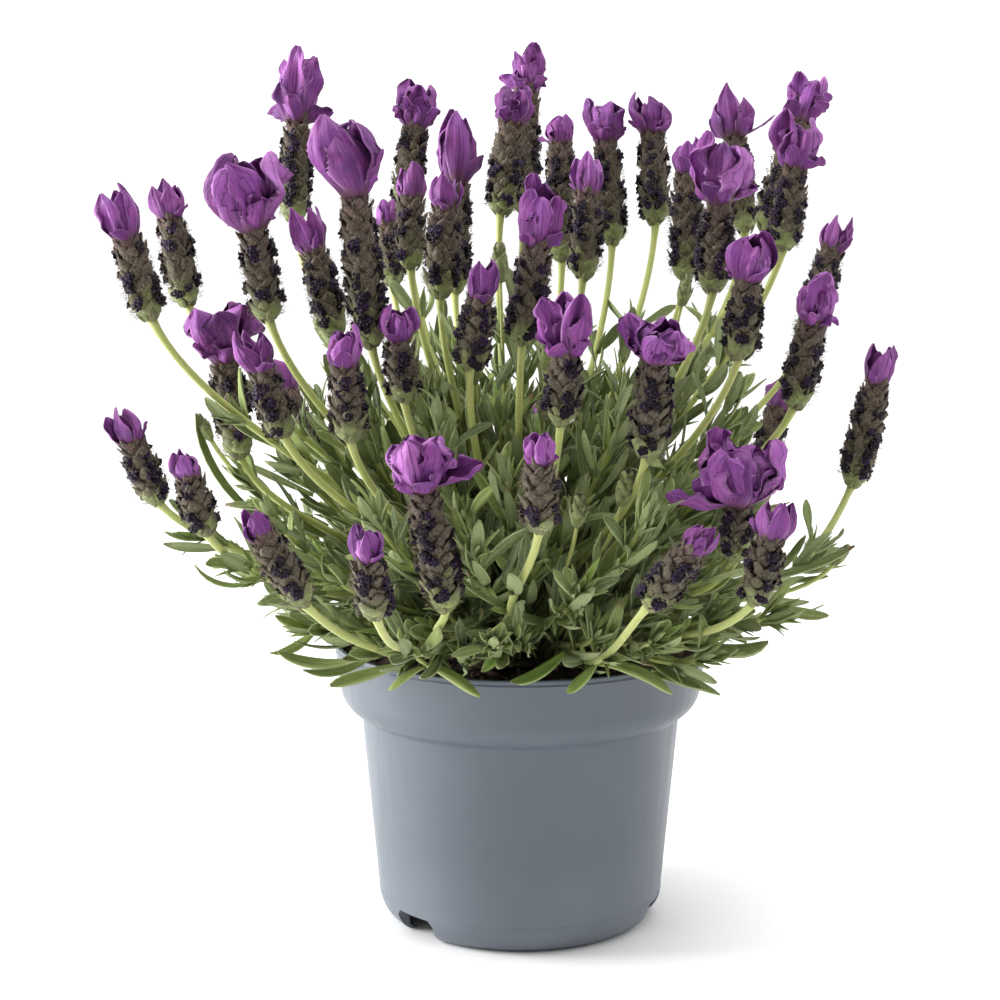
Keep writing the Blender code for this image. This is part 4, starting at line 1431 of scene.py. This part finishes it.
def pot_profile():
    """The pot's outline, from its axis under the floor, round the outside, to its inner floor."""
    lip_foot = POT_HEIGHT - LIP_HEIGHT
    side = RIM_RADIUS - LIP_OUTSET
    inner_corner = foot_corner(FOOT_WIDTH)
    floor_top = FLOOR_HEIGHT + WALL
    low_collar = collar_bottom() - COLLAR_STEP
    round_lip = 0.5 * MM
    profile = [(0.0, FLOOR_HEIGHT), (inner_corner[5][0], FLOOR_HEIGHT)] + inner_corner[4::-1]
    profile[-1] = (profile[-1][0] + 0.3 * MM, 0.0)
    profile += [(FOOT_RADIUS - 0.3 * MM, 0.0)] + foot_corner(0.0)[1:] + seam_line()
    body_top = body_radius(low_collar)
    profile += [(body_radius(0.5 * (CORNER_HEIGHT + low_collar)), 0.5 * (CORNER_HEIGHT + low_collar))]
    profile += [(body_top, low_collar - 0.5 * MM), (body_top + 0.15 * MM, low_collar)]
    profile += shoulder_arc(0.0)
    groove = 0.35 * MM
    profile += [(side - 0.05 * MM, lip_foot - 0.9 * MM), (side - groove, lip_foot - 0.4 * MM),
                (side - groove, lip_foot), (RIM_RADIUS - 0.1 * MM, lip_foot + 0.1 * MM)]
    profile += arc((RIM_RADIUS - round_lip, POT_HEIGHT - round_lip), round_lip, 0.0, 90.0, 5)
    profile += arc((side - WALL + round_lip, POT_HEIGHT - round_lip), round_lip, 90.0, 180.0, 5)
    profile += shoulder_arc(WALL)[::-1]
    profile += [(body_radius(collar_bottom() - 2.0 * WALL) - WALL, collar_bottom() - 2.0 * WALL)]
    profile += [(body_radius(CORNER_HEIGHT + WALL) - WALL, CORNER_HEIGHT + WALL)]
    profile += [(body_radius(floor_top) - 2.0 * WALL, floor_top), (0.0, floor_top)]
    return profile


def plain_mesh(name, verts, faces):
    mesh = bpy.data.meshes.new(name)
    mesh.from_pydata(verts, [], faces)
    mesh.update()
    piece = bpy.data.objects.new(name, mesh)
    bpy.context.scene.collection.objects.link(piece)
    return piece


def revolve(name, profile, segments):
    """A closed turned mesh, with its profile's two ends on the axis."""
    angle = 2.0 * np.pi * np.arange(segments) / segments
    verts = [(0.0, 0.0, profile[0][1]), (0.0, 0.0, profile[-1][1])]
    for radius, height in profile[1:-1]:
        verts += [(radius * math.cos(a), radius * math.sin(a), height) for a in angle]
    faces = []
    rings = len(profile) - 2
    for ring in range(rings - 1):
        low = 2 + ring * segments
        for step in range(segments):
            after = (step + 1) % segments
            faces.append((low + step, low + after, low + segments + after, low + segments + step))
    top = 2 + (rings - 1) * segments
    for step in range(segments):
        after = (step + 1) % segments
        faces.append((0, 2 + after, 2 + step))
        faces.append((1, top + step, top + after))
    return plain_mesh(name, verts, faces)


def notch_cutter(middle):
    """A wedge with a narrower roof, which cuts one drain notch from the foot ring."""
    verts = []
    for height, share in ((-2.0 * WALL, 1.0), (0.75 * DRAIN_HEIGHT, 1.0), (DRAIN_HEIGHT, 0.8)):
        half = 0.5 * DRAIN_ANGLE * share
        inner = FOOT_RADIUS - 1.4 * FOOT_WIDTH
        for radius, side in ((inner, -1), (RIM_RADIUS, -1), (RIM_RADIUS, 1), (inner, 1)):
            turn_angle = middle + side * half
            verts.append((radius * math.sin(turn_angle), -radius * math.cos(turn_angle), height))
    faces = [(3, 2, 1, 0), (8, 9, 10, 11)]
    for low in (0, 4):
        for side in range(4):
            after = (side + 1) % 4
            faces.append((low + side, low + after, low + 4 + after, low + 4 + side))
    return plain_mesh("notch_cutter", verts, faces)


def applied(piece):
    """Bake a piece's modifiers into its mesh."""
    graph = bpy.context.evaluated_depsgraph_get()
    mesh = bpy.data.meshes.new_from_object(piece.evaluated_get(graph))
    piece.modifiers.clear()
    piece.data = mesh
    return piece


def make_pot(material):
    pot = revolve("pot_shell", pot_profile(), POT_SEGMENTS)
    cutters = []
    for index in range(DRAIN_COUNT):
        cutter = notch_cutter(FIRST_DRAIN + 2.0 * math.pi * index / DRAIN_COUNT)
        cut = pot.modifiers.new(f"drain {index + 1}", "BOOLEAN")
        cut.object = cutter
        cutters.append(cutter)
    applied(pot)
    for cutter in cutters:
        bpy.data.objects.remove(cutter, do_unlink=True)
    pot.data.materials.clear()
    pot.data.materials.append(material)
    pot.data.shade_smooth()
    pot.data.set_sharp_from_angle(angle=math.radians(38.0))
    finish_piece(pot, "pot_plastic", "pot")


def crumble(points, size, seed):
    """Smooth random heights at points of a plane."""
    rng = np.random.default_rng(seed)
    heights = np.zeros(len(points))
    for octave in range(4):
        scale = size * 0.5 ** octave
        for _ in range(6):
            way = rng.normal(0.0, 1.0, 2)
            way /= np.linalg.norm(way)
            heights += np.sin(points @ way * (2.0 * math.pi / scale) + rng.uniform(0.0, 6.3)) * 0.5 ** octave
    return heights / 5.0


def soil_relief(points):
    """Broad humps and small lumps of the soil's top."""
    return crumble(points, 26.0 * MM, 5) * 1.4 * MM + crumble(points, 5.0 * MM, 6) * 0.7 * MM


def make_soil(material, crumb):
    """The soil, with an uneven top, and the peat and bark crumbs that lie on it."""
    gap = WALL + CLEARANCE
    floor_top = FLOOR_HEIGHT + WALL + CLEARANCE
    profile = [(0.0, floor_top), (body_radius(floor_top) - 2.0 * gap, floor_top)]
    profile += [(body_radius(CORNER_HEIGHT + gap) - gap, CORNER_HEIGHT + gap)]
    profile += [(body_radius(collar_bottom() - 2.0 * WALL) - gap, collar_bottom() - 2.0 * WALL)]
    profile += [point for point in shoulder_arc(gap) if point[1] < SOIL_TOP - 3.0 * MM]
    side = shoulder_arc(gap)[-1][0] - 0.1 * MM
    profile += [(side, SOIL_TOP - 2.2 * MM)]
    profile += [(side * share, SOIL_TOP - 1.0 * MM) for share in np.linspace(0.985, 0.0, 46)]
    soil = revolve("soil_bed", profile, SOIL_SEGMENTS)
    mesh = soil.data
    places = np.empty(len(mesh.vertices) * 3)
    mesh.vertices.foreach_get("co", places)
    places = places.reshape(-1, 3)
    top = places[:, 2] > SOIL_TOP - 1.5 * MM
    radius = np.linalg.norm(places[:, :2], axis=1)
    lift = soil_relief(places[:, :2])
    under_crown = smooth(CROWN_RADIUS + 3.0 * MM, CROWN_RADIUS - 1.0 * MM, radius)
    lowered = np.minimum(lift, 1.0 * MM - 1.0 * MM * under_crown) - 1.5 * MM * under_crown
    places[:, 2] += np.where(top, lowered, 0.0)
    mesh.vertices.foreach_set("co", places.reshape(-1))
    mesh.update()
    mesh.materials.append(material)
    mesh.shade_smooth()
    mesh.set_sharp_from_angle(angle=math.radians(60.0))
    finish_piece(soil, "soil", "potting_soil")

    rng = np.random.default_rng(9)
    count = CRUMBS
    radius = np.sqrt(rng.uniform((CROWN_RADIUS / side) ** 2, 1.0, count)) * (side - 2.5 * MM)
    angle = rng.uniform(0.0, 2.0 * np.pi, count)
    ground = np.stack([radius * np.cos(angle), radius * np.sin(angle)], axis=1)
    lift = soil_relief(ground)
    size = rng.gamma(2.2, 0.42, count).clip(0.25, 2.6) * MM
    height = SOIL_TOP - 1.0 * MM + np.minimum(lift, 1.0 * MM) + 0.25 * size
    base = np.concatenate([ground, height[:, None]], axis=1)
    heading = unit(np.stack([rng.normal(0, 1, count), rng.normal(0, 1, count),
                             rng.normal(0.0, 0.4, count)], axis=1))
    first = unit(np.cross(heading, [0.2, 0.3, 1.0]))
    second = np.cross(heading, first)
    stretch = rng.uniform(0.8, 2.6, count)
    rows = []
    for share, swell in ((-1.0, 0.4), (-0.45, 0.95), (0.35, 1.0), (1.0, 0.5)):
        ring = []
        for corner in range(5):
            turn_angle = 2.0 * math.pi * corner / 5
            rough = rng.uniform(0.65, 1.3, (count, 1)) * swell * size[:, None] * 0.6
            ring.append(base + heading * (share * 0.6 * size * stretch)[:, None]
                        + (first * math.cos(turn_angle) + second * math.sin(turn_angle) * 0.7) * rough)
        rows.append(np.stack(ring, axis=1))
    crumbs = Strips()
    crumbs.add(np.stack(rows, axis=1), rng.random(count) ** 1.6, 0.5, 0.0, 0)
    piece = crumbs.build("bark_crumbs", [crumb])
    piece.data.shade_flat()
    finish_piece(piece, "soil")


def make_crown(material):
    """The low woody dome and the gnarled old stems that stand on it."""
    centre, radius = crown_sphere()
    rng = np.random.default_rng(11)
    strips = Strips()
    base = CROWN_LOW[2]
    shares = np.linspace(0.0, 1.0, 15)[1:]
    rings = [(CROWN_RADIUS * 0.9, base), (CROWN_RADIUS * 0.985, base + 0.3 * MM)]
    rings += [(CROWN_RADIUS * (1.0 - 0.97 * share), None) for share in np.concatenate([[0.0], shares])]
    points = []
    angle = 2.0 * np.pi * np.arange(64) / 64
    for ring_radius, height in rings:
        spread = ring_radius * np.stack([np.cos(angle), np.sin(angle)], axis=1)
        if height is None:
            level = centre[2] + math.sqrt(radius ** 2 - ring_radius ** 2)
            top = level + np.minimum(crumble(spread, 12.0 * MM, 3) * 1.2 * MM - 0.6 * MM, 0.0)
        else:
            top = np.full(64, height)
        points.append(np.concatenate([spread, top[:, None]], axis=1))
    strips.add(np.stack(points)[None], 0.5, 0.5, 0.0, 0)
    for number in range(OLD_STEMS):
        turn_angle = number * 2.4
        reach = CROWN_RADIUS * 0.93 * math.sqrt((number + 0.5) / OLD_STEMS)
        root = np.array([math.sin(turn_angle), -math.cos(turn_angle), 0.0]) * reach
        start, leave = crown_point(root[0], root[1])
        length = rng.uniform(14.0, 34.0) * MM
        shares = np.linspace(0.0, 1.0, 9)[:, None]
        sway = rng.normal(0.0, 0.18, 3)
        path = start - leave * (1.5 * MM) + leave * shares * length + sway * shares ** 2 * length
        thick = rng.uniform(1.6, 2.8) * MM
        knots = 1.0 + 0.16 * np.sin(shares[:, 0] * 17.0 + number)
        points, _ = tube(path, thick * knots * np.linspace(1.1, 0.6, 9), 9)
        strips.add(points, 0.5, 0.5, 0.0, 0)
    finish_piece(strips.build("woody_crown_bark", [material]), "woody_stem", "woody_crown")


# ---------------------------------------------------------------- stage, light and camera


def make_stage():
    """A round pale floor, wide enough to reach the horizon from every side."""
    radius = FLOOR_RADIUS
    count = 96
    angle = 2.0 * np.pi * np.arange(count) / count
    verts = [(radius * math.cos(a), radius * math.sin(a), -0.1 * MM) for a in angle]
    floor = plain_mesh("pale_floor", verts, [tuple(range(count))])
    floor.data.materials.append(floor_material())


def area_light(name, place, target, size, power):
    data = bpy.data.lights.new(name, "AREA")
    data.shape = "RECTANGLE"
    data.size, data.size_y = size
    data.energy = power
    light = bpy.data.objects.new(name, data)
    light.location = place
    light.rotation_euler = (Vector(target) - Vector(place)).to_track_quat("-Z", "Y").to_euler()
    bpy.context.scene.collection.objects.link(light)


def make_lights():
    world = bpy.data.worlds.new("studio")
    bpy.context.scene.world = world
    world.use_nodes = True
    nodes = world.node_tree.nodes
    links = world.node_tree.links
    background = nodes["Background"]
    background.inputs["Strength"].default_value = WORLD_STRENGTH
    facing = nodes.new("ShaderNodeVectorMath")
    facing.operation = "DOT_PRODUCT"
    facing.inputs[1].default_value = (0.0, -1.0, -0.1)
    links.new(nodes.new("ShaderNodeTexCoord").outputs["Generated"], facing.inputs[0])
    shade = nodes.new("ShaderNodeValToRGB")
    shade.color_ramp.interpolation = "EASE"
    shade.color_ramp.elements[0].position = 0.3
    shade.color_ramp.elements[0].color = (1.0, 1.0, 1.0, 1.0)
    shade.color_ramp.elements[1].position = 0.85
    shade.color_ramp.elements[1].color = (0.08, 0.08, 0.085, 1.0)
    links.new(facing.outputs["Value"], shade.inputs["Fac"])
    links.new(shade.outputs["Color"], background.inputs["Color"])
    area_light("key_left", (-1.2, 0.05, 0.42), LIGHT_TARGET, (0.6, 1.0), 27.0)
    area_light("top", (0.1, 0.1, 1.6), LIGHT_TARGET, (1.4, 1.4), 16.0)


def make_camera():
    data = bpy.data.cameras.new("camera")
    data.lens = CAMERA_LENS
    data.sensor_width = 36.0
    camera = bpy.data.objects.new("camera", data)
    camera.location = CAMERA_PLACE
    camera.rotation_euler = (CAMERA_TILT, 0.0, 0.0)
    bpy.context.scene.collection.objects.link(camera)
    bpy.context.scene.camera = camera


def main():
    make_camera()
    make_stage()
    make_lights()
    leaf = leaf_material()
    stalk = stalk_material()
    make_pot(pot_material())
    make_soil(soil_material(), crumb_material())
    make_crown(bark_material())
    green_bract = green_bract_material()
    head = [stalk, bract_material(), green_bract, floret_material(), wool_material(), petal_material()]
    flowers = [Flower(number, row, root)
               for number, (row, root) in enumerate(zip(FLOWERS, root_places()), start=1)]
    for flower in flowers:
        make_flower(flower, head)
    foliage_groups([leaf, stalk])
    low_shoots([leaf, stalk])
    stalk_leaves(flowers, [leaf, stalk])
    rim_leaves([leaf, stalk])
    bud_stems([stalk, green_bract])
    bpy.context.scene.view_settings.view_transform = "Standard"


main()
